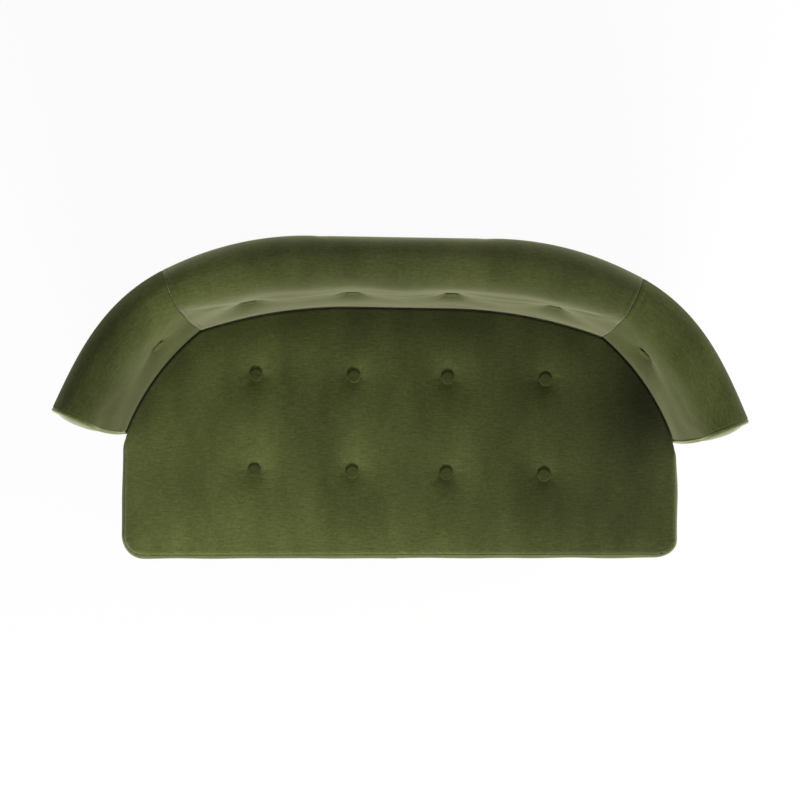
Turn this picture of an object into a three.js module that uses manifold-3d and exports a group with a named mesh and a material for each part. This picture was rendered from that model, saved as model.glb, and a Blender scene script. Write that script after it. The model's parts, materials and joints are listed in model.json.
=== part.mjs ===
// Bench settee with a wraparound rolled back and a tight, tufted seat.
// Millimetres, +Z up, front towards -Y, origin on the floor under the middle of the settee.
//
// The back and arms follow two plan lines: the foot line, where the seat meets the back, and the
// roll line, the outer edge of the roll above it. A station is a place along both lines: 0 at the
// middle, 1 at the seam between back and arm, 2 at the arm's front end, negative on the left. At
// each station a section is drawn with u outwards from the foot line and z up from the floor.
import * as THREE from "three";
import { mergeVertices } from "three/addons/utils/BufferGeometryUtils.js";
import Module from "manifold-3d";

const wasm = await Module();
wasm.setup();

// Overall sizes
const overallWidth = 1400; // over the tips of the arm rolls
const overallDepth = 668; // from the seat's front to the back of the roll
const overallHeight = 735; // to the crest of the roll; the legs take up a change of it
const backRise = 262; // crown of the seat to the crest of the roll
const railHeight = 128.4; // front, side and bent rails

// Fits
const clearance = 0.3; // between pieces that touch
const bentClearance = 0.7; // between pieces bent along one line
const postClearance = 1.5; // between a straight post and the bent panel behind it
const cutOverrun = 6; // how far a cutter passes the faces that it cuts

// Seat
const seatThickness = 139; // webbing to the crown
const seatCrown = 18; // rise of the crown above the edge seam
const seatCrownRun = 55; // distance from the edge over which the crown rises
const seatCornerRadius = 52;
const seatSeamInset = 13; // edge seam, inside the widest line of the boxing
const seatFootInset = 8; // foot of the boxing, inside its widest line
const seatShoulder = 5; // fullness of the top panel just inside the seam
const seatShoulderRun = 8;
const seatEdgeRun = 37; // widest line to the end of the top panel's rounded edge
const seatSideStop = 47; // straight side of the seat ends this far in front of the arm
const webbingThickness = 2;

// Tufts and covered buttons
const tuftOffsetShares = [0.168, 0.5175]; // of the seat's half width, from the centre line
const seatTuftRowShares = [0.341, 0.722]; // of the depth from the seat's front to the back
const seatTuftDepth = 17;
const backTuftDrop = 145; // crest down to the tufts
const backTuftDepth = 17;
const armTuftDistance = 82; // from the seam, along the foot line
const tuftFlat = 17; // half width of the flat under a button
const tuftReach = 46; // run of the dimple beyond that flat
const tuftBlockMargin = 26; // from the last dimple to the front and sides of the tufted block
const buttonRadius = 14;
const buttonHeight = 8;
const buttonRim = 2.5;

// Plan lines of the back and arms
const backThickness = 129; // foot line to roll line at the middle
const armOverhang = 99; // tip of an arm beyond the side of the seat
const armFootInset = 12; // arm's front foot, inside the side of the seat
const footFlatShare = 0.166; // straight middle of the foot line, of the seat's half width
const rollFlatShare = 0.257; // straight middle of the roll line, of the overall half width
const seamFootSpanShare = 0.719; // foot of the seam, of the seat's half width
const seamRollSpanShare = 0.69; // head of the seam, of the overall half width
const seamFootForwardShare = 0.104; // forward of the back's foot line, of the clear depth
const armFootForwardShare = 0.512;
const seamRollForwardShare = 0.1138; // forward of the back's roll line, of the overall depth
const armTipForwardShare = 0.5374;
const seamFootSlope = 19; // degrees from the X axis where the back's foot line ends
const armFootSlope = 40; // where the arm's foot line starts
const armEndSlope = 69;
const seamRollSlope = 28;
const armTipSlope = 66;

// Section of the back and arms
const faceLean = 21; // how far the inner face leans out up to the shoulder
const faceFullness = 6; // fullness of the inner face halfway up
const shoulderDrop = 75; // crest down to the start of the shoulder
const shoulderFullness = 44; // pull of the shoulder's round, upwards and inwards
const crestOffset = 76; // foot line to the crest
const rollEdgeDrop = 45; // crest down to the middle of the roll's outer edge
const rollEdgeRadius = 9;
const rollEdgeTurn = 32; // degrees above level where the crown runs into the roll's edge
const rollEdgeWrap = 60; // degrees below level where the roll's edge ends
const rollCrownShare = 0.6; // crest to roll edge, where the crown's fall begins
const lipInset = 14; // roll line to the lip under the roll
const lipDrop = 78; // crest down to the lip
const baseShare = 0.48; // outside of the base, as a share of the section's reach
const sweepPower = 1.7; // how late the outside sweeps out to the lip
const outsideThickness = 4; // outside back and arm panels

// Frame
const railDepth = 28; // front and side rails, front to back
const bentRailDepth = 36;
const apronInset = 6; // face of the apron, inside the widest line of the seat
const apronThickness = 5;
const apronStop = 14; // apron ends this far in front of the arms
const topRailInner = 52; // foot line to the top rail
const topRailInset = 18; // roll line to the top rail
const topRailDrop = 30; // crest down to the top of the top rail
const innerPanelThickness = 4;
const innerPanelFoot = 32; // foot line to the panel's foot
const postWidth = 32;
const postHead = 24;
const postPlaceShares = [0.33, 0.92]; // of the way from the middle to the seam
const armBoardThickness = 18;
const stretcherOffsetShare = 0.341; // of the seat's half width, from the centre line
const stretcherWidth = 26;
const stretcherLift = 32; // underside of a stretcher above the underside of the rails
const cornerBlockLeg = 84;
const cornerBlockDrop = 32; // top of a corner block below the top of the rails
const strapWidth = 52;
const strapSpacingShare = 0.246; // of the seat's half width
const strapSideCount = 3; // straps on each side of the middle one
const crossStrapFront = 150; // first cross strap, behind the seat's front
const crossStrapSpacing = 165;
const strapInset = 7; // straps end this far inside the rails' outer faces
const strapHold = 22; // straps run this far onto the bent rail
const dustCoverThickness = 1.5;
const dustCoverInset = 9; // inside the widest line of the seat

// Arm facing and its welt
const weltRadius = 4.5;
const facingEdge = 5; // thickness of the facing beside the welt
const facingCrown = 15; // further thickness at its middle

// Legs
const boltWall = 10; // wood between a front leg's bolt and the rails' inner faces
const frontLegTop = 29;
const frontLegNeck = 17;
const frontLegRing = 24;
const frontLegSwell = 23;
const frontLegFoot = 12.5;
const rearLegTop = 46;
const rearLegFoot = 29;
const rearLegRake = 34; // foot of the rear leg, outwards of its top
const rearLegChamfer = 4;
const rearLegRakePower = 1.4; // how late the rear leg turns outwards
const rearLegPlaceShare = 0.86; // of the way from the middle to the seam
const boltRadius = 4;
const boltInLeg = 42;
const boltInFrame = 58;
const glideRadius = 10.5;
const glideHeight = 4;
const glideNailRadius = 1.5;
const glideNailLength = 14;

// Levels and lines that follow from the sizes above
const halfWidth = overallWidth / 2;
const halfDepth = overallDepth / 2;
const seatHalf = halfWidth - armOverhang;
const seatFront = -halfDepth;
const footLineY = halfDepth - backThickness;
const clearDepth = footLineY - seatFront;
const seatSeam = overallHeight - backRise - seatCrown;
const padBottom = overallHeight - backRise - seatThickness;
const webbingTop = padBottom - clearance;
const webbingBottom = webbingTop - webbingThickness;
const railTop = webbingBottom - clearance;
const frameHeight = railTop - railHeight; // floor to the underside of the rails
const faceTop = overallHeight - shoulderDrop;
const rollEdge = overallHeight - rollEdgeDrop;
const lipLevel = overallHeight - lipDrop;
const topRailTop = overallHeight - topRailDrop;
const topRailBottom = lipLevel;
const armEndY = footLineY - armFootForwardShare * clearDepth;
const railInset = apronInset + apronThickness + clearance;
const backTufts = tuftOffsetShares.map((share) => share * seatHalf);
const tuftFlatCorner = tuftFlat * Math.SQRT2;
const seatTuftRows = seatTuftRowShares.map((share) => seatFront + share * clearDepth);
const stretcherOffset = stretcherOffsetShare * seatHalf;
const strapSpacing = strapSpacingShare * seatHalf;
const cornerBlockTop = railTop - cornerBlockDrop;
const backTuftHeight = overallHeight - backTuftDrop;
const legInset = railDepth + clearance + boltWall + boltRadius; // inside the rails' outer faces

// Counts of facets
const boltSides = 10;
const buttonSides = 12;
const legSides = 18;
const weltSides = 8;
const cornerSteps = 6;
const armSteps = 6;
const rollSteps = 4;
const rollEdgeSteps = 2;
const outsideSteps = 7;
const facingSteps = [8, 5]; // up to the shoulder, and from there to the crest
const armLineSteps = 16;
const backLineSteps = 14;
const cornerBorderSteps = 2; // steps of the tufted block's border that face half a corner

const finish = (color, roughness, metalness = 0) =>
  new THREE.MeshStandardMaterial({ color, roughness, metalness });
const velvet = finish(0x50552f, 0.85);
const frameWood = finish(0xb98e5c, 0.75);
const board = finish(0x9a7a52, 0.85);
const darkWood = finish(0x2c1b12, 0.35);
const steel = finish(0x9c9c98, 0.4, 1);
const glidePlastic = finish(0x2a2a2a, 0.6);
const cambric = finish(0x1a1a1b, 0.95);
const jute = finish(0x8d7650, 0.95);

const settee = new THREE.Group();

// Adds one piece under its name.
function add(name, geometry, material, parent = settee) {
  const mesh = new THREE.Mesh(geometry, material);
  mesh.name = name;
  parent.add(mesh);
  return mesh;
}

const vec2 = (x, y) => new THREE.Vector2(x, y);
const lerp = THREE.MathUtils.lerp;
const radians = THREE.MathUtils.degToRad;
const sides = [
  ["left", -1],
  ["right", 1],
];

// Whole steps from 0 to count, as shares of it.
const steps = (count) => Array.from({ length: count + 1 }, (_, i) => i / count);

/* Solids */

// Six times the signed volume of an indexed mesh; negative where its faces point in.
function signedVolume(points, faces) {
  return faces.reduce((sum, [a, b, c]) => {
    const cross = new THREE.Vector3().crossVectors(points[b], points[c]);
    return sum + points[a].dot(cross);
  }, 0);
}

// A closed geometry from points and triangles, with its faces turned outwards.
function closedGeometry(points, faces) {
  const insideOut = signedVolume(points, faces) < 0;
  const outward = insideOut ? faces.map(([a, b, c]) => [a, c, b]) : faces;
  const geometry = new THREE.BufferGeometry().setFromPoints(points);
  geometry.setIndex(outward.flat());
  return geometry;
}

// A body through rings of equally many points. Each ring comes with its flat outline, which
// closes the two ends.
function loft(rings, firstOutline, lastOutline = firstOutline) {
  const count = rings[0].length;
  const points = rings.flat();
  const faces = [];
  for (let ring = 0; ring + 1 < rings.length; ring++)
    for (let i = 0; i < count; i++) {
      const a = ring * count + i;
      const b = ring * count + ((i + 1) % count);
      faces.push([a, b, b + count], [a, b + count, a + count]);
    }
  capFaces(firstOutline).forEach(([a, b, c]) => faces.push([a, c, b]));
  const last = (rings.length - 1) * count;
  capFaces(lastOutline).forEach(([a, b, c]) => faces.push([last + a, last + b, last + c]));
  return closedGeometry(points, faces);
}

// Triangles over a flat outline, turned the way that its points run.
function capFaces(outline) {
  const area = THREE.ShapeUtils.area;
  return THREE.ShapeUtils.triangulateShape([...outline], []).map(([a, b, c]) => {
    const alike = area([outline[a], outline[b], outline[c]]) * area(outline) > 0;
    return alike ? [a, b, c] : [a, c, b];
  });
}

// The geometry as a solid that can be joined and cut.
function solidOf(geometry) {
  const bare = new THREE.BufferGeometry().setAttribute("position", geometry.getAttribute("position"));
  if (geometry.index) bare.setIndex(geometry.index);
  const merged = mergeVertices(bare);
  return new wasm.Manifold(
    new wasm.Mesh({
      numProp: 3,
      vertProperties: merged.attributes.position.array,
      triVerts: new Uint32Array(merged.index.array),
    }),
  );
}

function geometryOf(solid) {
  const mesh = solid.getMesh();
  return new THREE.BufferGeometry()
    .setAttribute("position", new THREE.BufferAttribute(mesh.vertProperties, 3))
    .setIndex(new THREE.BufferAttribute(mesh.triVerts, 1));
}

const cut = (geometry, ...cutters) =>
  geometryOf(cutters.reduce((solid, cutter) => solid.subtract(solidOf(cutter)), solidOf(geometry)));
const trim = (geometry, bounds) => geometryOf(solidOf(geometry).intersect(solidOf(bounds)));
const join = (geometries) =>
  geometryOf(geometries.map(solidOf).reduce((whole, solid) => whole.add(solid)));

// A box between two corners.
function boxBetween(x0, x1, y0, y1, z0, z1) {
  const box = new THREE.BoxGeometry(x1 - x0, y1 - y0, z1 - z0);
  return box.translate((x0 + x1) / 2, (y0 + y1) / 2, (z0 + z1) / 2);
}

// A plan outline raised from one level to another.
function prism(outline, z0, z1, holes = []) {
  const shape = new THREE.Shape(outline);
  shape.holes = holes.map((hole) => new THREE.Path(hole));
  const solid = new THREE.ExtrudeGeometry(shape, { depth: z1 - z0, bevelEnabled: false });
  return solid.translate(0, 0, z0);
}

// A turned body; the profile runs from axis to axis, as radius and height.
function turned(profile, facets) {
  const lathe = new THREE.LatheGeometry(profile.map(([r, z]) => vec2(r, z)), facets);
  lathe.rotateX(Math.PI / 2);
  return geometryOf(solidOf(lathe));
}

const rod = (radius, z0, z1) =>
  turned([[0, z0], [radius, z0], [radius, z1], [0, z1]], boltSides);

/* Plan lines */

// One stretch of a plan line between two points, with the slope at each end in degrees.
const roundHandleShares = [0.345, 0.345];
const armRollHandleShares = [0.4, 0.3];

function stretch(from, to, startSlope, endSlope, handleShares) {
  const chord = from.distanceTo(to);
  const away = (slope, length) =>
    vec2(Math.cos(radians(slope)), -Math.sin(radians(slope))).multiplyScalar(length);
  return new THREE.CubicBezierCurve(
    from,
    from.clone().add(away(startSlope, chord * handleShares[0])),
    to.clone().sub(away(endSlope, chord * handleShares[1])),
    to,
  );
}

// An arc about a centre between two angles in degrees.
const arcAbout = (centre, radius, from, to) =>
  new THREE.EllipseCurve(centre.x, centre.y, radius, radius, radians(from), radians(to), to < from);

function path(...curves) {
  const whole = new THREE.CurvePath();
  curves.forEach((curve) => whole.add(curve));
  return whole;
}

const seamFoot = vec2(seamFootSpanShare * seatHalf, footLineY - seamFootForwardShare * clearDepth);
const seamRoll = vec2(seamRollSpanShare * halfWidth, halfDepth - seamRollForwardShare * overallDepth);
const armFoot = vec2(seatHalf - armFootInset, armEndY);
const armTip = vec2(halfWidth, halfDepth - armTipForwardShare * overallDepth);
const footFlatEnd = vec2(footFlatShare * seatHalf, footLineY);
const rollFlatEnd = vec2(rollFlatShare * halfWidth, halfDepth);

const footLines = [
  path(
    new THREE.LineCurve(vec2(0, footLineY), footFlatEnd),
    stretch(footFlatEnd, seamFoot, 0, seamFootSlope, roundHandleShares),
  ),
  path(stretch(seamFoot, armFoot, armFootSlope, armEndSlope, roundHandleShares)),
];
const rollLines = [
  path(
    new THREE.LineCurve(vec2(0, halfDepth), rollFlatEnd),
    stretch(rollFlatEnd, seamRoll, 0, seamRollSlope, roundHandleShares),
  ),
  path(stretch(seamRoll, armTip, seamRollSlope, armTipSlope, armRollHandleShares)),
];
const backHalfLength = footLines[0].getLength();
const armLength = footLines[1].getLength();

// The foot, the outward direction and the reach of a station.
function station(place) {
  const side = place < 0 ? -1 : 1;
  const along = Math.abs(place);
  const part = along <= 1 ? 0 : 1;
  const foot = footLines[part].getPoint(along - part);
  const out = rollLines[part].getPoint(along - part).sub(foot);
  const reach = out.length();
  out.normalize();
  return {
    reach,
    at: (u, z, forward = 0) =>
      new THREE.Vector3(
        side * (foot.x + out.x * u + out.y * forward),
        foot.y + out.y * u - out.x * forward,
        z,
      ),
    yaw: Math.atan2(out.y, side * out.x),
  };
}

// Carries a section along the stations; the section is a function of the station's reach.
function sweep(places, section) {
  const outline = (place) => section(station(place).reach).map(([u, z]) => vec2(u, z));
  const ring = (place) => {
    const { reach, at } = station(place);
    return section(reach, place).map(([u, z]) => at(u, z));
  };
  return loft(places.map(ring), outline(places[0]), outline(places.at(-1)));
}

// Places from one station to another in even steps.
const between = (from, to, count) => steps(count).map((share) => lerp(from, to, share));

const seamGap = clearance / backHalfLength; // half the gap between back and arm, as a place
const armGap = clearance / armLength;
const boardPlace = 2 - armBoardThickness / armLength;
const boardBack = boardPlace - bentClearance / armLength;

// Lines round a tuft: its centre, the flat's edges and the dimple's edges.
const dimpleShares = [-1, 0, 1];
const flatShares = [-1, 1];
const aroundTuft = [
  ...dimpleShares.map((share) => share * (tuftFlat + tuftReach / 2)),
  ...flatShares.map((share) => share * tuftFlat),
];

// Stations close up round each tuft. Every bent piece of the back or of an arm uses the same
// ones, so that pieces which lie against each other share their facets.
const backTuftPlaces = backTufts.map((offset) => offset / backHalfLength);
const backTuftStep = backTuftPlaces[1] - backTuftPlaces[0];
const armTuftPlace = 1 + armTuftDistance / armLength;
const ascending = (a, b) => a - b;

const backHalfPlaces = [
  ...backTuftPlaces.flatMap((place) => aroundTuft.map((offset) => place + offset / backHalfLength)),
  backTuftPlaces[0] + backTuftStep / 2,
  backTuftPlaces[1] + backTuftStep / 2,
].filter((place) => place < 1 - seamGap);
const armHalfPlaces = [
  ...aroundTuft.map((offset) => armTuftPlace + offset / armLength),
  ...between(armTuftPlace, 2, armSteps).slice(2, -1),
].filter((place) => place > 1 + armGap);

// The stations of a stretch, from one side's end to the other's.
function placesWithin(from, to) {
  const inner = [0, 1, ...backHalfPlaces, ...armHalfPlaces].flatMap((place) => [place, -place]);
  const within = [...new Set(inner)].filter((place) => place > from && place < to);
  return [from, ...within, to].sort(ascending);
}

/* Section lines */

const baseOf = (reach) => reach * baseShare;

// The outside of the panels at a level: a sweep from the base out to the lip.
function outsideAt(reach, z) {
  const rise = (z - frameHeight) / (lipLevel - frameHeight);
  return lerp(baseOf(reach), reach - lipInset, Math.pow(rise, sweepPower));
}

// The inner face leans from the foot line to the shoulder, and is full between them.
function faceAt(z) {
  const rise = THREE.MathUtils.clamp((z - seatSeam) / (faceTop - seatSeam), 0, 1);
  return faceLean * rise - faceFullness * Math.sin(Math.PI * rise);
}

// Over the roll, from the top of the inner face to the lip.
function rollLine(reach) {
  const start = vec2(faceLean, faceTop);
  const crest = vec2(crestOffset, overallHeight);
  const edgeCentre = vec2(reach - rollEdgeRadius, rollEdge);
  const edgeTop = vec2(rollEdgeRadius, 0).rotateAround(vec2(0, 0), radians(rollEdgeTurn));
  edgeTop.add(edgeCentre);
  const shoulder = new THREE.CubicBezierCurve(
    start,
    vec2(faceLean * (1 + shoulderFullness / (faceTop - seatSeam)), faceTop + shoulderFullness),
    vec2(crestOffset - shoulderFullness, overallHeight),
    crest,
  );
  const crown = new THREE.QuadraticBezierCurve(
    crest,
    vec2(lerp(crest.x, edgeTop.x, rollCrownShare), overallHeight),
    edgeTop,
  );
  const edge = arcAbout(edgeCentre, rollEdgeRadius, 0, -rollEdgeWrap);
  return [
    ...shoulder.getPoints(rollSteps),
    ...crown.getPoints(rollSteps).slice(1),
    ...edge.getPoints(rollEdgeSteps),
    vec2(reach - lipInset, lipLevel),
  ].map((point) => [point.x, point.y]);
}

/* Seat outline */

// The right half of the seat's widest line, from the front's middle round to the back's middle.
const seatBackClearance = clearance * 2;
const cornerCentre = vec2(seatHalf - seatCornerRadius, seatFront + seatCornerRadius);
const sideEnd = vec2(seatHalf, armEndY - seatSideStop);

function seatHalfLine() {
  const shy = (place) => {
    const point = station(place).at(-seatBackClearance, 0);
    return vec2(point.x, point.y);
  };
  const [armEnd, ...arm] = between(2, 1, armLineSteps).map(shy);
  const back = between(1, 0, backLineSteps).slice(1).map(shy);
  const corner = arcAbout(cornerCentre, seatCornerRadius, -90, 0);
  const armDirection = arm[0].clone().sub(armEnd).normalize();
  const joinRun = (armEnd.y - sideEnd.y) / 2;
  const joinLine = new THREE.CubicBezierCurve(
    sideEnd,
    vec2(seatHalf, sideEnd.y + joinRun),
    armEnd.clone().addScaledVector(armDirection, -joinRun),
    armEnd,
  );
  const sideToArm = joinLine.getPoints(cornerSteps);
  return [vec2(0, seatFront), ...corner.getPoints(cornerSteps), ...sideToArm, ...arm, ...back];
}

const halfLine = seatHalfLine();

// Lengths along a line of points.
function runOf(line) {
  const run = [0];
  line.slice(1).forEach((point, i) => run.push(run[i] + point.distanceTo(line[i])));
  return run;
}

const halfRun = runOf(halfLine);

// The point at a distance along the seat's half line, and the inward direction there.
function alongSeat(distance) {
  const last = halfLine.length - 2;
  const found = halfRun.findIndex((run) => run >= distance) - 1;
  const i = THREE.MathUtils.clamp(found, 0, last);
  const share = (distance - halfRun[i]) / (halfRun[i + 1] - halfRun[i]);
  const direction = halfLine[i + 1].clone().sub(halfLine[i]).normalize();
  return {
    point: halfLine[i].clone().lerp(halfLine[i + 1], share),
    inward: vec2(-direction.y, direction.x),
  };
}

// The closed seat line, moved inwards, from given distances along its half.
function seatLine(distances, inset) {
  const half = distances.map((distance) => {
    const { point, inward } = alongSeat(distance);
    const centred = distance === 0 || distance === halfRun.at(-1);
    if (centred) inward.x = 0;
    return point.addScaledVector(inward, inset);
  });
  const mirrored = half.slice(1, -1).reverse().map((point) => vec2(-point.x, point.y));
  return [...half, ...mirrored];
}

const cornerStart = seatHalf - seatCornerRadius;
const cornerEnd = cornerStart + (seatCornerRadius * Math.PI) / 2;

/* Seat pad */

const dimpleHalf = tuftFlat + tuftReach;
const blockHalf = backTufts[1] + dimpleHalf + tuftBlockMargin;
const blockFront = seatTuftRows[0] - dimpleHalf - tuftBlockMargin;
// The boxing's levels, as shares of its height, and how far it is drawn in there, as shares of
// the draw at its foot or at its seam.
const boxingFootShares = [
  [0, 1],
  [0.12, 0.4],
  [0.5, 0],
];
const boxingSeamShares = [
  [0.86, 0.3],
  [1, 1],
];

const linesAround = (centre) => aroundTuft.map((offset) => centre + offset).sort(ascending);

// How much of a tuft's depth a point takes at a distance from its middle.
function dimplePull(distance) {
  const beyond = Math.max(0, distance - tuftFlatCorner);
  return Math.exp(-Math.pow(beyond / (tuftReach / 2), 2));
}

function seatDimple(x, y) {
  const tufts = seatTuftRows.flatMap((row) =>
    backTufts.flatMap((offset) => [vec2(offset, row), vec2(-offset, row)]),
  );
  return tufts
    .map((tuft) => ({ tuft, pull: dimplePull(tuft.distanceTo(vec2(x, y))) }))
    .reduce((deepest, next) => (next.pull > deepest.pull ? next : deepest));
}

// Height of the crown without its tufts.
function crownAt(point, outline) {
  const edge = Math.min(...outline.map((other) => other.distanceTo(point)));
  return seatSeam + seatCrown * (1 - Math.exp(-edge / seatCrownRun));
}

function seatTopAt(x, y, outline) {
  const { tuft, pull } = seatDimple(x, y);
  const bed = crownAt(tuft, outline) - seatTuftDepth;
  return lerp(crownAt(vec2(x, y), outline), bed, pull);
}

function seatPad() {
  const columns = backTufts.flatMap(linesAround);
  const mid = (backTufts[0] + backTufts[1]) / 2;
  const positive = [...columns, mid, blockHalf].sort(ascending);
  const xs = [...positive.map((x) => -x).reverse(), 0, ...positive];
  const rowMid = (seatTuftRows[0] + seatTuftRows[1]) / 2;
  const ys = [
    blockFront,
    ...linesAround(seatTuftRows[0]),
    rowMid,
    ...linesAround(seatTuftRows[1]),
  ];
  const acrossHalf = positive.length;
  const wide = xs.length;
  const deep = ys.length;

  // The seat line's points face the points round the block, one for one.
  const cornerMiddle = (cornerStart + cornerEnd) / 2;
  const whole = halfRun.at(-1);
  const seamRun = whole - backHalfLength;
  const paces = [
    ...between(0, cornerStart, acrossHalf - cornerBorderSteps),
    ...between(cornerStart, cornerMiddle, cornerBorderSteps).slice(1),
    ...between(cornerMiddle, cornerEnd, cornerBorderSteps).slice(1),
    ...between(cornerEnd, seamRun, deep - cornerBorderSteps).slice(1),
    ...between(seamRun, whole, acrossHalf).slice(1),
  ];
  const outline = seatLine(paces, 0);
  const count = outline.length;

  const drawnIn = (shares, draw) =>
    shares.map(([rise, pull]) => [lerp(padBottom, seatSeam, rise), pull * draw]);
  const boxing = [
    ...drawnIn(boxingFootShares, seatFootInset),
    ...drawnIn(boxingSeamShares, seatSeamInset),
    [seatSeam + seatShoulder, seatSeamInset + seatShoulderRun],
  ];
  const rings = boxing.map(([z, inset]) =>
    seatLine(paces, inset).map((point) => new THREE.Vector3(point.x, point.y, z)),
  );
  const onTop = (x, y) => new THREE.Vector3(x, y, seatTopAt(x, y, outline));
  const edge = seatLine(paces, seatEdgeRun);
  rings.push(edge.map(({ x, y }) => onTop(x, y)));

  // Inside those rings lies the block, whose border is their last ring. Its back row lies
  // halfway from the last tufts' lines to the rounded edge.
  const points = rings.flat();
  const blockStart = points.length;
  ys.forEach((y) => xs.forEach((x) => points.push(onTop(x, y))));
  xs.forEach((x, i) => {
    const facing = edge[acrossHalf + deep + wide - 1 - i];
    points.push(onTop(x, (ys.at(-1) + facing.y) / 2));
  });
  const cell = (i, j) => blockStart + j * wide + i;
  const border = [];
  for (let i = acrossHalf; i < wide - 1; i++) border.push(cell(i, 0));
  for (let j = 0; j < deep; j++) border.push(cell(wide - 1, j));
  for (let i = wide - 1; i > 0; i--) border.push(cell(i, deep));
  for (let j = deep; j > 0; j--) border.push(cell(0, j));
  for (let i = 0; i < acrossHalf; i++) border.push(cell(i, 0));

  const faces = [];
  const quad = (a, b, c, d) => faces.push([a, b, c], [a, c, d]);
  for (let ring = 0; ring < rings.length; ring++)
    for (let i = 0; i < count; i++) {
      const next = (i + 1) % count;
      const upper = ring + 1 < rings.length ? (k) => (ring + 1) * count + k : (k) => border[k];
      quad(ring * count + i, ring * count + next, upper(next), upper(i));
    }
  for (let j = 0; j < deep; j++)
    for (let i = 0; i < wide - 1; i++) quad(cell(i, j), cell(i + 1, j), cell(i + 1, j + 1), cell(i, j + 1));
  const underside = rings[0].map((point) => vec2(point.x, point.y));
  capFaces(underside).forEach(([a, b, c]) => faces.push([a, c, b]));
  return { geometry: closedGeometry(points, faces), outline };
}

/* Inside back and arms */

const lowerFaceShare = 0.4; // seam of the seat to the tufts, where the face takes another row

// A padded body over the core, with its tufts.
function insidePad(from, to, tuftPlaces, lengthPerPlace) {
  const levels = [
    padBottom,
    seatSeam,
    lerp(seatSeam, backTuftHeight, lowerFaceShare),
    ...aroundTuft.map((offset) => backTuftHeight + offset).sort(ascending),
  ];
  const section = (reach, place = from) => {
    const face = levels.map((z) => {
      const away = Math.min(
        ...tuftPlaces.map((tuft) => Math.hypot((place - tuft) * lengthPerPlace, z - backTuftHeight)),
      );
      return [faceAt(z) + backTuftDepth * dimplePull(away), z];
    });
    const top = topRailTop + clearance;
    const core = [
      [reach - topRailInset + clearance, lipLevel],
      [reach - topRailInset + clearance, top],
      [topRailInner - clearance, top],
      [topRailInner - clearance, topRailBottom],
      [innerPanelFoot - clearance, padBottom],
    ];
    return [...face, ...rollLine(reach), ...core];
  };
  return sweep(placesWithin(from, to), section);
}

/* Frame round the seat */

// The seat's front and straight sides, moved in, from one side's end round to the other's.
function frontLine(inset, end) {
  const radius = seatCornerRadius - inset;
  const corner = arcAbout(cornerCentre, radius, -90, 0);
  const right = [...corner.getPoints(cornerSteps), vec2(seatHalf - inset, end)];
  const left = right.map((point) => vec2(-point.x, point.y)).reverse();
  return [...left, ...right];
}

// The region inside the rails' outer faces, running back past the arms.
const railRegion = (z0, z1, inset = railInset) => prism(frontLine(inset, halfDepth), z0, z1);

// Everything outwards of a line that lies u outside the foot line, for cutting what meets it.
function beyondFootLine(u, z0, z1) {
  const plan = (place, distance) => {
    const point = station(place).at(distance, 0);
    return vec2(point.x, point.y);
  };
  const inner = placesWithin(-2, 2).map((place) => plan(place, u));
  const tip = plan(2, station(2).reach + cutOverrun);
  const far = vec2(tip.x, halfDepth + cutOverrun);
  const outer = [tip, far, vec2(-far.x, far.y), vec2(-tip.x, tip.y)];
  return prism([...inner, ...outer], z0, z1);
}

const bentRailInner = clearance + clearance;
const frontRailBack = seatFront + railInset + railDepth;
const sideRailInner = seatHalf - railInset - railDepth;

function frontSeatRail() {
  const half = sideRailInner - clearance;
  const rail = boxBetween(-half, half, seatFront + railInset, frontRailBack, frameHeight, railTop);
  return trim(rail, railRegion(frameHeight - cutOverrun, railTop + cutOverrun));
}

function sideSeatRail(side) {
  const xs = [side * sideRailInner, side * (seatHalf - railInset)].sort((a, b) => a - b);
  const back = armEndY + armLength / 2;
  const rail = boxBetween(...xs, seatFront + railInset, back, frameHeight, railTop);
  const region = railRegion(frameHeight - cutOverrun, railTop + cutOverrun);
  const beyond = beyondFootLine(bentRailInner - bentClearance, frameHeight - cutOverrun, railTop + cutOverrun);
  const armFront = armEndCutter(frameHeight - cutOverrun, railTop + cutOverrun);
  return cut(trim(rail, region), beyond, armFront);
}

// The space of the arm's end, from its board to past the facing.
function armEndCutter(z0, z1) {
  const both = sides.map(([, side]) => {
    const { at, reach } = station(side * 2);
    const corners = [
      at(-bentClearance, 0, -armBoardThickness),
      at(-bentClearance, 0, facingEdge + facingCrown),
      at(reach, 0, facingEdge + facingCrown),
      at(reach, 0, -armBoardThickness),
    ].map((point) => vec2(point.x, point.y));
    return prism(side < 0 ? corners.reverse() : corners, z0, z1);
  });
  return join(both);
}

function bentSeatRail() {
  const section = () => [
    [bentRailInner, frameHeight],
    [bentRailInner + bentRailDepth, frameHeight],
    [bentRailInner + bentRailDepth, railTop],
    [bentRailInner, railTop],
  ];
  const holes = sides.map(([, side]) => {
    const top = rearLegTopPoint(side);
    return rod(boltRadius + clearance, frameHeight - cutOverrun, frameHeight + boltInFrame + clearance)
      .translate(top.x, top.y, 0);
  });
  return cut(sweep(placesWithin(-boardBack, boardBack), section), ...holes);
}

function cornerBlock(side) {
  const x = side * (sideRailInner - clearance);
  const y = frontRailBack + clearance;
  const outline = [vec2(x, y), vec2(x, y + cornerBlockLeg), vec2(x - side * cornerBlockLeg, y)];
  const block = prism(outline, frameHeight, cornerBlockTop);
  const leg = frontLegPoint(side);
  const hole = rod(boltRadius + clearance, frameHeight - cutOverrun, frameHeight + boltInFrame + clearance);
  return cut(block, hole.translate(leg.x, leg.y, 0));
}

function seatStretcher(side) {
  const x = side * stretcherOffset;
  const box = boxBetween(
    x - stretcherWidth / 2,
    x + stretcherWidth / 2,
    frontRailBack + clearance,
    halfDepth,
    frameHeight + stretcherLift,
    railTop,
  );
  const beyond = beyondFootLine(bentRailInner - bentClearance, frameHeight, railTop + cutOverrun);
  return cut(box, beyond);
}

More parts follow.
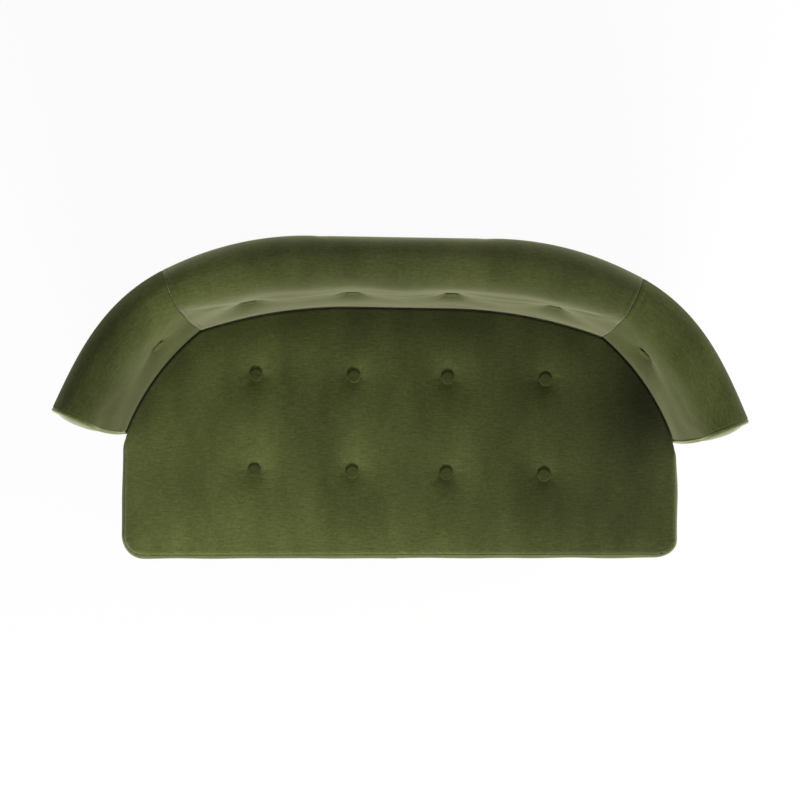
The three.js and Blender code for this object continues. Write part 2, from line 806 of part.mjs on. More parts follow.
// Straps from rail to rail in one layer, held together where they cross.
function seatWebbing() {
  const deep = steps(strapSideCount * 2).map((share) => (share * 2 - 1) * strapSideCount * strapSpacing);
  const straps = deep.map((x) =>
    boxBetween(x - strapWidth / 2, x + strapWidth / 2, seatFront, halfDepth, webbingBottom, webbingTop),
  );
  [0, 1].forEach((row) => {
    const y = seatFront + crossStrapFront + row * crossStrapSpacing;
    straps.push(
      boxBetween(-halfWidth, halfWidth, y - strapWidth / 2, y + strapWidth / 2, webbingBottom, webbingTop),
    );
  });
  const region = railRegion(webbingBottom - cutOverrun, webbingTop + cutOverrun, railInset + strapInset);
  const beyond = beyondFootLine(strapHold, webbingBottom - cutOverrun, webbingTop + cutOverrun);
  return cut(trim(join(straps), region), beyond);
}

/* Frame of the back and arms */

function topRail(from, to) {
  const section = (reach) => [
    [topRailInner, topRailBottom],
    [reach - topRailInset, topRailBottom],
    [reach - topRailInset, topRailTop],
    [topRailInner, topRailTop],
  ];
  return sweep(placesWithin(from, to), section);
}

function innerPanel(from, to) {
  const foot = railTop + clearance;
  const head = topRailBottom - clearance;
  const section = () => [
    [innerPanelFoot, foot],
    [innerPanelFoot + innerPanelThickness, foot],
    [topRailInner + innerPanelThickness, head],
    [topRailInner, head],
  ];
  return sweep(placesWithin(from, to), section);
}

// A post from the bent seat rail up to the top rail, cranked over the rail's top edge.
function backPost(place) {
  const half = postWidth / 2 / backHalfLength;
  const foot = bentRailInner + bentRailDepth + bentClearance;
  const head = topRailInner + innerPanelThickness + bentClearance;
  const headLevel = topRailBottom - clearance;
  const footOuter = (reach) => baseOf(reach) - outsideThickness - postClearance;
  const section = (reach) => [
    [foot, frameHeight],
    [footOuter(reach), frameHeight],
    [footOuter(reach), railTop],
    [head + postHead, headLevel],
    [head, headLevel],
    [foot, railTop + clearance],
  ];
  return sweep([place - half, place + half], section);
}

// The outline of an arm's whole end, from the foot of its inner side over the roll to the base.
function armOutline(reach) {
  const outside = steps(outsideSteps).map((share) => {
    const z = lerp(lipLevel, frameHeight, share);
    return [outsideAt(reach, z), z];
  });
  return [
    [0, frameHeight],
    [0, seatSeam],
    [faceAt(backTuftHeight), backTuftHeight],
    ...rollLine(reach).slice(0, -1),
    ...outside,
  ];
}

function armFrontBoard(side) {
  const section = (reach) => {
    const outside = steps(outsideSteps).map((share) => {
      const z = lerp(lipLevel - clearance, frameHeight, share);
      return [outsideAt(reach, z) - outsideThickness - bentClearance, z];
    });
    return [
      [bentRailInner, frameHeight],
      [bentRailInner, railTop],
      [innerPanelFoot, railTop],
      [topRailInner, topRailBottom],
      [topRailInner, topRailTop],
      [reach - topRailInset, topRailTop],
      [reach - topRailInset, lipLevel],
      ...outside,
    ];
  };
  return sweep([side * boardPlace, side * 2], section);
}

/* Outer skins */

function outsidePanel(from, to) {
  const section = (reach) => {
    const levels = between(lipLevel - clearance, frameHeight, outsideSteps);
    const outer = levels.map((z) => [outsideAt(reach, z), z]);
    const inner = levels.map((z) => [outsideAt(reach, z) - outsideThickness, z]).reverse();
    return [...outer, ...inner];
  };
  return sweep(placesWithin(from, to), section);
}

// The apron runs round the front and the corners, and ends short of the arm facings.
function seatApron() {
  const end = armEndY - apronStop;
  const outer = frontLine(apronInset, end);
  const inner = frontLine(apronInset + apronThickness, end).reverse();
  return prism([...outer, ...inner], frameHeight, webbingTop);
}

function dustCover() {
  const edge = placesWithin(0, 2).reverse().map((place) => {
    const { at, reach } = station(place);
    const point = at(baseOf(reach) - outsideThickness, 0);
    return vec2(point.x, point.y);
  });
  const armCorner = station(2).at(0, 0);
  const right = [vec2(armCorner.x, armCorner.y), ...edge];
  const left = right.slice(0, -1).map((point) => vec2(-point.x, point.y)).reverse();
  const front = frontLine(dustCoverInset, armEndY - apronStop);
  const holes = sides.flatMap(([, side]) => {
    const frontLeg = frontLegPoint(side);
    const rearLeg = rearLegTopPoint(side);
    const round = steps(legSides)
      .slice(1)
      .map((share) => {
        const turn = share * Math.PI * 2;
        const radius = frontLegTop + bentClearance;
        return vec2(frontLeg.x + radius * Math.cos(turn), frontLeg.y + radius * Math.sin(turn));
      });
    const yaw = station(side * rearLegPlaceShare).yaw;
    const square = rearLegRing(rearLegTop + clearance * 2, 0, 0).map((point) =>
      vec2(point.x, point.y).rotateAround(vec2(0, 0), yaw).add(rearLeg),
    );
    return [round, square];
  });
  const top = frameHeight - clearance;
  return prism([...front, ...right, ...left], top - dustCoverThickness, top, holes);
}

/* Arm facing and welt */

// The outline of an arm's end, moved in square to itself.
function insetOutline(reach, inset) {
  const outline = armOutline(reach).map(([u, z]) => vec2(u, z));
  return outline.map((point, i) => {
    const before = outline[Math.max(i - 1, 0)];
    const after = outline[Math.min(i + 1, outline.length - 1)];
    const along = after.clone().sub(before).normalize();
    const inward = vec2(along.y, -along.x);
    return { point: point.clone().addScaledVector(inward, inset), inward };
  });
}

// The two sides of an outline at a level.
function spanAt(outline, z) {
  const crossings = outline.slice(1).flatMap((point, i) => {
    const [low, high] = [outline[i], point].sort((a, b) => a.y - b.y);
    if (z < low.y || z > high.y || low.y === high.y) return [];
    return [lerp(low.x, high.x, (z - low.y) / (high.y - low.y))];
  });
  return [Math.min(...crossings), Math.max(...crossings)];
}

const facingShares = [0, 0, 0.18, 0.36, 0.64, 0.82, 1, 1];

function armFacing(side) {
  const { reach, at } = station(side * 2);
  const gap = weltRadius * 2 + clearance;
  const outline = insetOutline(reach, gap).map(({ point }) => point);
  const foot = outline[0].y;
  const top = Math.max(...outline.map((point) => point.y));
  const rows = [
    ...between(foot, faceTop, facingSteps[0]),
    ...between(faceTop, top, facingSteps[1]).slice(1, -1),
    top - clearance,
  ];
  const ring = (z) => {
    const [low, high] = spanAt(outline, z);
    const nearTop = THREE.MathUtils.smoothstep(top - z, 0, gap * 4);
    return facingShares.map((share, i) => {
      const flat = i === 0 || i === facingShares.length - 1;
      const bulge = facingEdge + facingCrown * nearTop * Math.sin(Math.PI * share);
      return at(lerp(low, high, share), z, flat ? clearance : bulge);
    });
  };
  const section = facingShares.map((share, i) => {
    const flat = i === 0 || i === facingShares.length - 1;
    return vec2(share, flat ? 0 : 1 + Math.sin(Math.PI * share));
  });
  return loft(rows.map(ring), section);
}

function facingWelt(side) {
  const { reach, at } = station(side * 2);
  const centres = insetOutline(reach, weltRadius);
  const rings = centres.map(({ point, inward }) =>
    steps(weltSides).slice(1).map((share) => {
      const turn = share * Math.PI * 2;
      const across = point.clone().addScaledVector(inward, weltRadius * Math.cos(turn));
      return at(across.x, across.y, clearance + weltRadius + weltRadius * Math.sin(turn));
    }),
  );
  const cap = steps(weltSides).slice(1).map((share) => {
    const turn = share * Math.PI * 2;
    return vec2(Math.cos(turn), Math.sin(turn));
  });
  return loft(rings, cap);
}

/* Legs */

const legTop = frameHeight - clearance;

function frontLegPoint(side) {
  const inset = railInset + legInset;
  return vec2(side * (seatHalf - inset), seatFront + inset);
}

function rearLegTopPoint(side) {
  const point = station(side * rearLegPlaceShare).at(bentRailInner + bentRailDepth / 2, 0);
  return vec2(point.x, point.y);
}

// Heights of the front leg's turning, as shares of its length.
const turningShares = {
  toe: 0.04,
  calf: 0.36,
  swell: 0.62,
  waist: 0.69,
  neck: 0.73,
  ringFoot: 0.745,
  ringTop: 0.785,
  throat: 0.8,
  cup: 0.86,
  collar: 0.9,
};
const calfShare = 0.5; // foot to swell
const waistShare = 0.35; // swell to neck
const cupShare = 0.7; // neck to top

function frontLeg() {
  const foot = glideHeight + clearance;
  const level = (share) => lerp(foot, legTop, share);
  const nailTop = foot + glideNailLength;
  const boltFoot = legTop - boltInLeg - clearance;
  const nailHole = glideNailRadius + clearance;
  const boltHole = boltRadius + clearance;
  const profile = [
    [0, nailTop],
    [nailHole, nailTop],
    [nailHole, foot],
    [frontLegFoot, foot],
    [frontLegFoot, level(turningShares.toe)],
    [lerp(frontLegFoot, frontLegSwell, calfShare), level(turningShares.calf)],
    [frontLegSwell, level(turningShares.swell)],
    [lerp(frontLegSwell, frontLegNeck, waistShare), level(turningShares.waist)],
    [frontLegNeck, level(turningShares.neck)],
    [frontLegRing, level(turningShares.ringFoot)],
    [frontLegRing, level(turningShares.ringTop)],
    [frontLegNeck, level(turningShares.throat)],
    [lerp(frontLegNeck, frontLegTop, cupShare), level(turningShares.cup)],
    [frontLegTop, level(turningShares.collar)],
    [frontLegTop, legTop],
    [boltHole, legTop],
    [boltHole, boltFoot],
    [0, boltFoot],
  ];
  return turned(profile, legSides);
}

// A square with cut corners, out of the axis by a given distance.
function rearLegRing(width, shift, z) {
  const half = width / 2;
  const short = half - rearLegChamfer;
  const corners = [
    [half, short], [short, half], [-short, half], [-half, short],
    [-half, -short], [-short, -half], [short, -half], [half, -short],
  ];
  return corners.map(([x, y]) => new THREE.Vector3(x + shift, y, z));
}

const rearLegShares = [0, 0.25, 0.5, 1]; // heights of its rings, of its length

function rearLeg() {
  const foot = glideHeight + clearance;
  const rings = rearLegShares.map((share) => {
    const width = lerp(rearLegFoot, rearLegTop, share);
    const shift = rearLegRake * Math.pow(1 - share, rearLegRakePower);
    return rearLegRing(width, shift, lerp(foot, legTop, share));
  });
  const outline = rings[0].map((point) => vec2(point.x, point.y));
  const body = loft(rings, outline, rings.at(-1).map((point) => vec2(point.x, point.y)));
  const boltHole = rod(boltRadius + clearance, legTop - boltInLeg - clearance, legTop + cutOverrun);
  const nailHole = rod(glideNailRadius + clearance, foot - cutOverrun, foot + glideNailLength);
  return cut(body, boltHole, nailHole.translate(rearLegRake, 0, 0));
}

const hangerBolt = () => rod(boltRadius, legTop - boltInLeg, frameHeight + boltInFrame);

function glide() {
  const rim = glideHeight / 2;
  const profile = [
    [0, 0],
    [glideRadius - rim, 0],
    [glideRadius, rim],
    [glideRadius, glideHeight],
    [glideNailRadius, glideHeight],
    [glideNailRadius, glideHeight + glideNailLength - clearance],
    [0, glideHeight + glideNailLength - clearance],
  ];
  return turned(profile, boltSides);
}

/* Covered buttons */

const domeShares = [0, 0.35, 0.7]; // of the quarter turn from the button's rim to its top

function button() {
  const dome = domeShares.map((share) => {
    const turn = (share * Math.PI) / 2;
    const rise = buttonHeight - buttonRim;
    return [buttonRadius * Math.cos(turn), buttonRim + rise * Math.sin(turn)];
  });
  return turned([[0, 0], [buttonRadius - buttonRim, 0], ...dome, [0, buttonHeight]], buttonSides);
}

/* Assembly */

const seat = seatPad();
add("front_seat_rail", frontSeatRail(), frameWood);
add("rear_seat_rail", bentSeatRail(), frameWood);
add("seat_webbing", seatWebbing(), jute);
add("seat_pad", seat.geometry, velvet);
add("seat_apron", seatApron(), velvet);
add("dust_cover", dustCover(), cambric);

for (const [name, side] of sides) {
  add(`side_seat_rail_${name}`, sideSeatRail(side), frameWood);
  add(`seat_stretcher_${name}`, seatStretcher(side), frameWood);
  add(`corner_block_${name}`, cornerBlock(side), frameWood);
}

const backEnd = 1 - seamGap;
const armStart = 1 + armGap;
const backTuftsBothSides = [-backTuftPlaces[1], -backTuftPlaces[0], ...backTuftPlaces];
add("back_top_rail", topRail(-backEnd, backEnd), frameWood);
add("inner_back_panel", innerPanel(-backEnd, backEnd), board);
add("outside_back", outsidePanel(-backEnd, backEnd), velvet);
add("inside_back", insidePad(-backEnd, backEnd, backTuftsBothSides, backHalfLength), velvet);

postPlaceShares.forEach((place, i) =>
  sides.forEach(([name, side]) => add(`back_post_${name}_${i + 1}`, backPost(side * place), frameWood)),
);

// A stretch of an arm, with its lower station first.
const armStretch = (side, end) => [side * armStart, side * end].sort(ascending);
for (const [name, side] of sides) {
  add(`arm_top_rail_${name}`, topRail(...armStretch(side, boardBack)), frameWood);
  add(`inner_arm_panel_${name}`, innerPanel(...armStretch(side, boardBack)), board);
  add(`arm_front_board_${name}`, armFrontBoard(side), frameWood);
  add(`outside_arm_${name}`, outsidePanel(...armStretch(side, 2)), velvet);
  const pad = insidePad(...armStretch(side, 2), [side * armTuftPlace], armLength);
  add(`inside_arm_${name}`, pad, velvet);
  add(`arm_facing_${name}`, armFacing(side), velvet);
  add(`facing_welt_${name}`, facingWelt(side), velvet);
}

for (const [name, side] of sides) {
  const front = new THREE.Group();
  const frontPoint = frontLegPoint(side);
  front.position.set(frontPoint.x, frontPoint.y, 0);
  const rear = new THREE.Group();
  const rearPoint = rearLegTopPoint(side);
  rear.position.set(rearPoint.x, rearPoint.y, 0);
  rear.rotation.z = station(side * rearLegPlaceShare).yaw;
  settee.add(front, rear);
  add(`front_leg_${name}`, frontLeg(), darkWood, front);
  add(`rear_leg_${name}`, rearLeg(), darkWood, rear);
  add(`front_bolt_${name}`, hangerBolt(), steel, front);
  add(`rear_bolt_${name}`, hangerBolt(), steel, rear);
  add(`front_glide_${name}`, glide(), glidePlastic, front);
  add(`rear_glide_${name}`, glide(), glidePlastic, rear).position.x = rearLegRake;
}

// A button lies on the flat of its tuft, its axis square to the padding.
let seatButtons = 0;
for (const row of seatTuftRows)
  for (const x of [-backTufts[1], -backTufts[0], ...backTufts]) {
    const bed = crownAt(vec2(x, row), seat.outline) - seatTuftDepth;
    add(`seat_button_${++seatButtons}`, button(), velvet).position.set(x, row, bed + clearance);
  }

function backButton(name, place, lengthPerPlace) {
  const bedAt = (along, rise) => {
    const z = backTuftHeight + rise;
    return station(place + along / lengthPerPlace).at(faceAt(z) + backTuftDepth, z);
  };
  const corners = flatShares.flatMap((along) =>
    flatShares.map((rise) => bedAt(along * tuftFlat, rise * tuftFlat)),
  );
  const [lowLeft, highLeft, lowRight, highRight] = corners;
  const across = lowRight.clone().add(highRight).sub(lowLeft).sub(highLeft);
  const upwards = highLeft.clone().add(highRight).sub(lowLeft).sub(lowRight);
  const inward = across.cross(upwards).normalize();
  const middle = corners.reduce((sum, corner) => sum.add(corner), new THREE.Vector3()).divideScalar(4);
  const mesh = add(name, button(), velvet);
  mesh.position.copy(middle).addScaledVector(inward, bentClearance);
  mesh.quaternion.setFromUnitVectors(new THREE.Vector3(0, 0, 1), inward);
}
backTuftsBothSides.forEach((place, i) =>
  backButton(`back_button_${i + 1}`, place, backHalfLength),
);
for (const [name, side] of sides)
  backButton(`arm_button_${name}`, side * armTuftPlace, armLength);

export default settee;
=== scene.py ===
"""Bench settee with a wraparound rolled back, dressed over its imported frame."""

import json
import logging
import math
from collections.abc import Callable, Sequence
from dataclasses import dataclass, field
from enum import Enum
from functools import cached_property

import bmesh
import bpy
import numpy as np
from mathutils import Matrix, Vector


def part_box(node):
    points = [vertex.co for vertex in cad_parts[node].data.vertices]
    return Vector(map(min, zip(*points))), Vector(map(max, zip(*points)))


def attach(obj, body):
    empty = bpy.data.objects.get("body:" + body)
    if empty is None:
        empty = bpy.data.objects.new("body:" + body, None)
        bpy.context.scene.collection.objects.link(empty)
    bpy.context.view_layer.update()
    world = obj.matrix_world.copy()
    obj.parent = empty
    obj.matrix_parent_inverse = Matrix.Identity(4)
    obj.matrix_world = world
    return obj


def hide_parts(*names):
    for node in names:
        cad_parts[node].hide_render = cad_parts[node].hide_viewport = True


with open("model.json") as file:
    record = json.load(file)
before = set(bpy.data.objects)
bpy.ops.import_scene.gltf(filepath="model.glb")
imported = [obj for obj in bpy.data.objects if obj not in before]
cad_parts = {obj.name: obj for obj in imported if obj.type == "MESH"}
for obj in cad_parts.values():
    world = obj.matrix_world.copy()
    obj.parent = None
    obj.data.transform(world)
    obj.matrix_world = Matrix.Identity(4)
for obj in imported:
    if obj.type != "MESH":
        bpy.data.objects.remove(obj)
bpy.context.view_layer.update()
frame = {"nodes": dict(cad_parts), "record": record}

LOG = logging.getLogger("settee")


class Side(Enum):
    """One side of the settee, as someone who faces its front sees it."""

    LEFT = -1
    RIGHT = 1

    @property
    def word(self) -> str:
        """The side's name as the frame's nodes spell it."""
        return self.name.lower()


# Sizes and plan lines


@dataclass(frozen=True)
class Sizes:
    """Main sizes of the settee, in metres."""

    half_depth: float = 0.334
    height: float = 0.735
    rail_foot: float = 0.203
    pad_foot: float = 0.334
    seat_seam: float = 0.455
    seat_half: float = 0.601
    seat_crown: float = 0.018
    crown_run: float = 0.055
    foot_line: float = 0.205
    face_top: float = 0.660
    tuft_height: float = 0.590
    lip_level: float = 0.657
    roll_edge: float = 0.690
    roll_radius: float = 0.009
    tuft_depth: float = 0.017

    @property
    def clear_depth(self) -> float:
        """Depth of the seat in front of the middle of the back."""
        return self.foot_line + self.half_depth


SIZES = Sizes()


def bezier(points: Sequence[Sequence[float]], shares: np.ndarray) -> np.ndarray:
    """Points of a Bezier curve of any degree.

    Args:
        points: Its control points.
        shares: Places along it, from 0 to 1.

    Returns:
        One row of coordinates for each place.
    """
    layers = [np.broadcast_to(np.asarray(p, float), (len(shares), 2)) for p in points]
    t = np.asarray(shares, float)[:, None]
    while len(layers) > 1:
        layers = [a + (b - a) * t for a, b in zip(layers, layers[1:])]
    return layers[0]


def run_of(points: np.ndarray) -> np.ndarray:
    """Distance of each point from the first, along the line of them."""
    return np.r_[0.0, np.cumsum(np.linalg.norm(np.diff(points, axis=0), axis=1))]


def smooth(value: np.ndarray, low: float, high: float) -> np.ndarray:
    """A smooth step from 0 at low to 1 at high."""
    t = np.clip((value - low) / (high - low), 0.0, 1.0)
    return t * t * (3.0 - 2.0 * t)


def rounding(gone: np.ndarray, run: np.ndarray | float) -> np.ndarray:
    """How far a rounded edge still falls away, from 1 at the edge to 0 beyond its run."""
    return 1 - np.sqrt(1 - (1 - np.clip(gone / run, 0, 1)) ** 2)


def left_of(line: np.ndarray) -> np.ndarray:
    """Unit directions to the left of a flat line, at each of its points."""
    ahead = np.gradient(line, axis=0)
    ahead /= np.maximum(np.linalg.norm(ahead, axis=1, keepdims=True), 1e-9)
    return np.stack([-ahead[:, 1], ahead[:, 0]], -1)


@dataclass(frozen=True)
class PlanLine:
    """A line on the floor plan, measured along its own length."""

    points: np.ndarray

    @cached_property
    def runs(self) -> np.ndarray:
        """Distance along the line to each of its points."""
        return run_of(self.points)

    @property
    def length(self) -> float:
        """Length of the whole line."""
        return float(self.runs[-1])

    def at(self, shares: np.ndarray) -> np.ndarray:
        """Points at shares of the line's length."""
        where = np.asarray(shares, float) * self.length
        return np.stack([np.interp(where, self.runs, self.points[:, k]) for k in (0, 1)], -1)


@dataclass(frozen=True)
class Stations:
    """Places along the back and arms, each with its foot, outward direction and reach."""

    side: np.ndarray
    foot: np.ndarray
    out: np.ndarray
    reach: np.ndarray

    def at(self, u: np.ndarray, z: np.ndarray, forward: np.ndarray | float = 0.0) -> np.ndarray:
        """Points of a section at each station.

        Args:
            u: Distance outwards from the foot line, a row for each station.
            z: Height over the floor.
            forward: Distance towards the arm's front.

        Returns:
            An array of points, a row for each station.
        """
        u, z, forward = np.broadcast_arrays(u, z, forward)
        foot, out = self.foot[:, None], self.out[:, None]
        x = foot[..., 0] + out[..., 0] * u + out[..., 1] * forward
        y = foot[..., 1] + out[..., 1] * u - out[..., 0] * forward
        return np.stack(np.broadcast_arrays(self.side[:, None] * x, y, z), -1)


@dataclass(frozen=True)
class ArmEnd(Stations):
    """The single station at the front end of an arm."""

    def lay(self, u: np.ndarray, z: np.ndarray, forward: np.ndarray | float) -> np.ndarray:
        """Points of the arm's end, from arrays of any shape."""
        flat = [np.reshape(values, (1, -1)) for values in np.broadcast_arrays(u, z, forward)]
        return self.at(*flat).reshape(*np.shape(u), 3)


@dataclass(frozen=True)
class Plan:
    """The foot line, where the seat meets the back, and the roll line over it.

    A place is 0 at the middle, 1 at the seam between back and arm, 2 at the arm's
    front end, and negative on the left.
    """

    seam_foot: tuple[float, float] = (0.432119, 0.148944)
    seam_roll: tuple[float, float] = (0.483, 0.257982)
    arm_foot: tuple[float, float] = (0.589, -0.070968)
    arm_tip: tuple[float, float] = (0.700, -0.024983)
    foot_flat: float = 0.0998
    roll_flat: float = 0.1799
    fineness: int = 400

    def _stretch(
        self,
        start: tuple[float, float],
        end: tuple[float, float],
        slopes: tuple[float, float],
        handles: tuple[float, float] = (0.345, 0.345),
    ) -> np.ndarray:
        """One curved stretch between two points, with its slope at each end in degrees."""
        a, b = np.array(start), np.array(end)
        chord = np.linalg.norm(b - a)
        away = [np.array([math.cos(math.radians(s)), -math.sin(math.radians(s))]) for s in slopes]
        near, far = a + away[0] * chord * handles[0], b - away[1] * chord * handles[1]
        return bezier([a, near, far, b], np.linspace(0, 1, self.fineness))

    @cached_property
    def foot_lines(self) -> tuple[PlanLine, PlanLine]:
        """The foot line of the back's right half and of the right arm."""
        flat = (self.foot_flat, SIZES.foot_line)
        back = np.vstack([[(0.0, SIZES.foot_line)], self._stretch(flat, self.seam_foot, (0, 19))])
        return PlanLine(back), PlanLine(self._stretch(self.seam_foot, self.arm_foot, (40, 69)))

    @cached_property
    def roll_lines(self) -> tuple[PlanLine, PlanLine]:
        """The roll line of the back's right half and of the right arm."""
        flat = (self.roll_flat, SIZES.half_depth)
        back = np.vstack([[(0.0, SIZES.half_depth)], self._stretch(flat, self.seam_roll, (0, 28))])
        arm = self._stretch(self.seam_roll, self.arm_tip, (28, 66), (0.4, 0.3))
        return PlanLine(back), PlanLine(arm)

    def stations(self, places: np.ndarray) -> Stations:
        """The stations at the given places."""
        places = np.asarray(places, float)
        along = np.abs(places)
        foot, roll = np.empty((len(places), 2)), np.empty((len(places), 2))
        for part in (0, 1):
            here = along <= 1 if part == 0 else along > 1
            foot[here] = self.foot_lines[part].at(along[here] - part)
            roll[here] = self.roll_lines[part].at(along[here] - part)
        out = roll - foot
        reach = np.linalg.norm(out, axis=1)
        side = np.where(places < 0, -1.0, 1.0)
        return Stations(side, foot, out / reach[:, None], reach)

    def arm_end(self, side: Side) -> ArmEnd:
        """The station at the front end of an arm."""
        end = self.stations(np.array([2.0 * side.value]))
        return ArmEnd(end.side, end.foot, end.out, end.reach)

    def distance(self, places: np.ndarray) -> np.ndarray:
        """Signed distance of places from the middle, along the foot line."""
        back, arm = (line.length for line in self.foot_lines)
        along = np.abs(places)
        return np.sign(places) * (np.minimum(along, 1) * back + np.maximum(along - 1, 0) * arm)

    def place(self, distances: np.ndarray) -> np.ndarray:
        """Places at signed distances from the middle, along the foot line."""
        back, arm = (line.length for line in self.foot_lines)
        along = np.abs(distances)
        return np.sign(distances) * (np.minimum(along / back, 1) + np.maximum(along - back, 0) / arm)


PLAN = Plan()


@dataclass(frozen=True)
class Section:
    """The upright section of the back and arms, drawn outwards from the foot line."""

    lean: float = 0.021
    fullness: float = 0.006
    shoulder: float = 0.044
    crest: float = 0.076
    edge_turn: float = 32.0
    edge_wrap: float = 60.0
    crown_share: float = 0.6
    lip_inset: float = 0.014
    base_share: float = 0.48
    sweep_power: float = 1.7
    rail_inner: float = 0.052
    rail_inset: float = 0.018
    rail_drop: float = 0.030
    panel_foot: float = 0.032
    clearance: float = 0.0003

    def face(self, z: np.ndarray) -> np.ndarray:
        """How far out the inner face stands at a height."""
        rise = np.clip((z - SIZES.seat_seam) / (SIZES.face_top - SIZES.seat_seam), 0, 1)
        return self.lean * rise - self.fullness * np.sin(np.pi * rise)

    def inner(self, reach: np.ndarray, paces: np.ndarray) -> tuple[np.ndarray, np.ndarray]:
        """The line from the pad's foot over the roll to the lip.

        Args:
            reach: Reach of each station.
            paces: Places along the line: 0 to 1 up the face, to 2 over the shoulder,
                to 3 over the crown, to 4 round the roll's edge and to 5 in to the lip.

        Returns:
            Distances outwards and heights, a row for each station.
        """
        s = SIZES
        r, q = np.broadcast_arrays(np.asarray(reach)[:, None], np.asarray(paces)[None, :])
        t = q - np.clip(np.floor(q), 0, 4)
        z_face = s.pad_foot + (s.face_top - s.pad_foot) * t
        pull = 1 + self.shoulder / (s.face_top - s.seat_seam)
        p0, p1 = (self.lean, s.face_top), (self.lean * pull, s.face_top + self.shoulder)
        p2, p3 = (self.crest - self.shoulder, s.height), (self.crest, s.height)
        cubic = [(1 - t) ** 3, 3 * t * (1 - t) ** 2, 3 * t * t * (1 - t), t**3]
        shoulder = [sum(w * p[k] for w, p in zip(cubic, (p0, p1, p2, p3))) for k in (0, 1)]
        turn = math.radians(self.edge_turn)
        centre = r - s.roll_radius
        top = centre + s.roll_radius * math.cos(turn), s.roll_edge + s.roll_radius * math.sin(turn)
        bend = self.crest + (top[0] - self.crest) * self.crown_share
        crown = (
            self.crest * (1 - t) ** 2 + 2 * bend * t * (1 - t) + top[0] * t * t,
            s.height * ((1 - t) ** 2 + 2 * t * (1 - t)) + top[1] * t * t,
        )
        angle = turn - t * math.radians(self.edge_turn + self.edge_wrap)
        edge = centre + s.roll_radius * np.cos(angle), s.roll_edge + s.roll_radius * np.sin(angle)
        wrap = -math.radians(self.edge_wrap)
        end = centre + s.roll_radius * math.cos(wrap), s.roll_edge + s.roll_radius * math.sin(wrap)
        lip = end[0] + (r - self.lip_inset - end[0]) * t, end[1] + (s.lip_level - end[1]) * t
        where = [q < 1, q < 2, q < 3, q < 4]
        u = np.select(where, [self.face(z_face), shoulder[0], crown[0], edge[0]], lip[0])
        z = np.select(where, [z_face, shoulder[1], crown[1], edge[1]], lip[1])
        return u, z

    def core(self, reach: np.ndarray) -> tuple[np.ndarray, np.ndarray]:
        """The hidden inner side of a pad, from the lip down round the top rail to its foot."""
        c, r = self.clearance, np.asarray(reach)
        top, level = SIZES.height - self.rail_drop + c, SIZES.lip_level
        outer = r - self.rail_inset + c
        inner = np.full_like(r, self.rail_inner - c)
        foot = np.full_like(r, self.panel_foot - c)
        u = np.stack([outer, outer, inner, inner, foot], 1)
        return u, np.broadcast_to([level, top, top, level, SIZES.pad_foot], u.shape)

    def outside(self, reach: np.ndarray, z: np.ndarray) -> np.ndarray:
        """How far out the outside panels stand at a height."""
        rise = (z - SIZES.rail_foot) / (SIZES.lip_level - SIZES.rail_foot)
        base = reach * self.base_share
        return base + (reach - self.lip_inset - base) * np.power(np.clip(rise, 0, 1), self.sweep_power)

    def arm_outline(self, reach: float, fineness: int = 60) -> np.ndarray:
        """The outline of an arm's whole end, from the foot of its inner side to its base."""
        reaches = np.array([reach])
        u, z = self.inner(reaches, np.linspace(0.3712, 4, 5 * fineness))
        levels = np.linspace(SIZES.lip_level, SIZES.rail_foot, fineness)
        outer = self.outside(reaches[:, None], levels[None, :])
        return np.vstack(
            [
                [(0.0, SIZES.rail_foot), (0.0, 0.33)],
                np.stack([u[0], z[0]], -1),
                np.stack([outer[0], levels], -1),
            ]
        )


SECTION = Section()


# Meshes


def bent_grid(points: np.ndarray, cloth: np.ndarray | None = None) -> tuple[bmesh.types.BMesh, np.ndarray]:
    """A grid bent onto points.

    Args:
        points: An array of points, rows by columns by 3.
        cloth: The same points' places on the flat cloth, in metres, for the UV map.

    Returns:
        The bent grid, and the index of its vertex at each row and column.
    """
    rows, columns = points.shape[:2]
    bm = bmesh.new()
    bmesh.ops.create_grid(bm, x_segments=rows - 1, y_segments=columns - 1, size=0.5)
    bm.verts.index_update()
    order = np.zeros((rows, columns), int)
    places = []
    for vert in bm.verts:
        i = round((vert.co.x + 0.5) * (rows - 1))
        j = round((vert.co.y + 0.5) * (columns - 1))
        order[i, j] = vert.index
        places.append((i, j))
        vert.co = points[i, j]
    layer = bm.loops.layers.uv.new("cloth")
    flat = cloth_runs(points) if cloth is None else cloth
    for face in bm.faces:
        for loop in face.loops:
            loop[layer].uv = flat[places[loop.vert.index]]
    return bm, order


def close_tube(bm: bmesh.types.BMesh) -> None:
    """Joins the first column of a grid to its last, and closes both ends."""
    bmesh.ops.remove_doubles(bm, verts=bm.verts, dist=1e-7)
    rims = [edge for edge in bm.edges if edge.is_boundary]
    bmesh.ops.holes_fill(bm, edges=rims, sides=0)
    bmesh.ops.recalc_face_normals(bm, faces=bm.faces)


def closed_skin(
    outer: np.ndarray,
    inner: np.ndarray,
    cloth: np.ndarray | None = None,
    lie: Callable[[np.ndarray], np.ndarray] = np.asarray,
) -> bmesh.types.BMesh:
    """A skin with an outer and an inner side, closed all round.

    Args:
        outer: Points of the outer side.
        inner: Points of the inner side, in the same order.
        cloth: Places of the outer side's points on the flat cloth.
        lie: Moves the points to how the cloth really lies.

    Returns:
        The closed mesh.
    """
    whole, flat = (
        None if side is None else np.concatenate([side[0], side[1][:, ::-1], side[0][:, :1]], axis=1)
        for side in ((outer, inner), None if cloth is None else (cloth, cloth))
    )
    bm, _ = bent_grid(lie(whole), flat)
    close_tube(bm)
    return bm


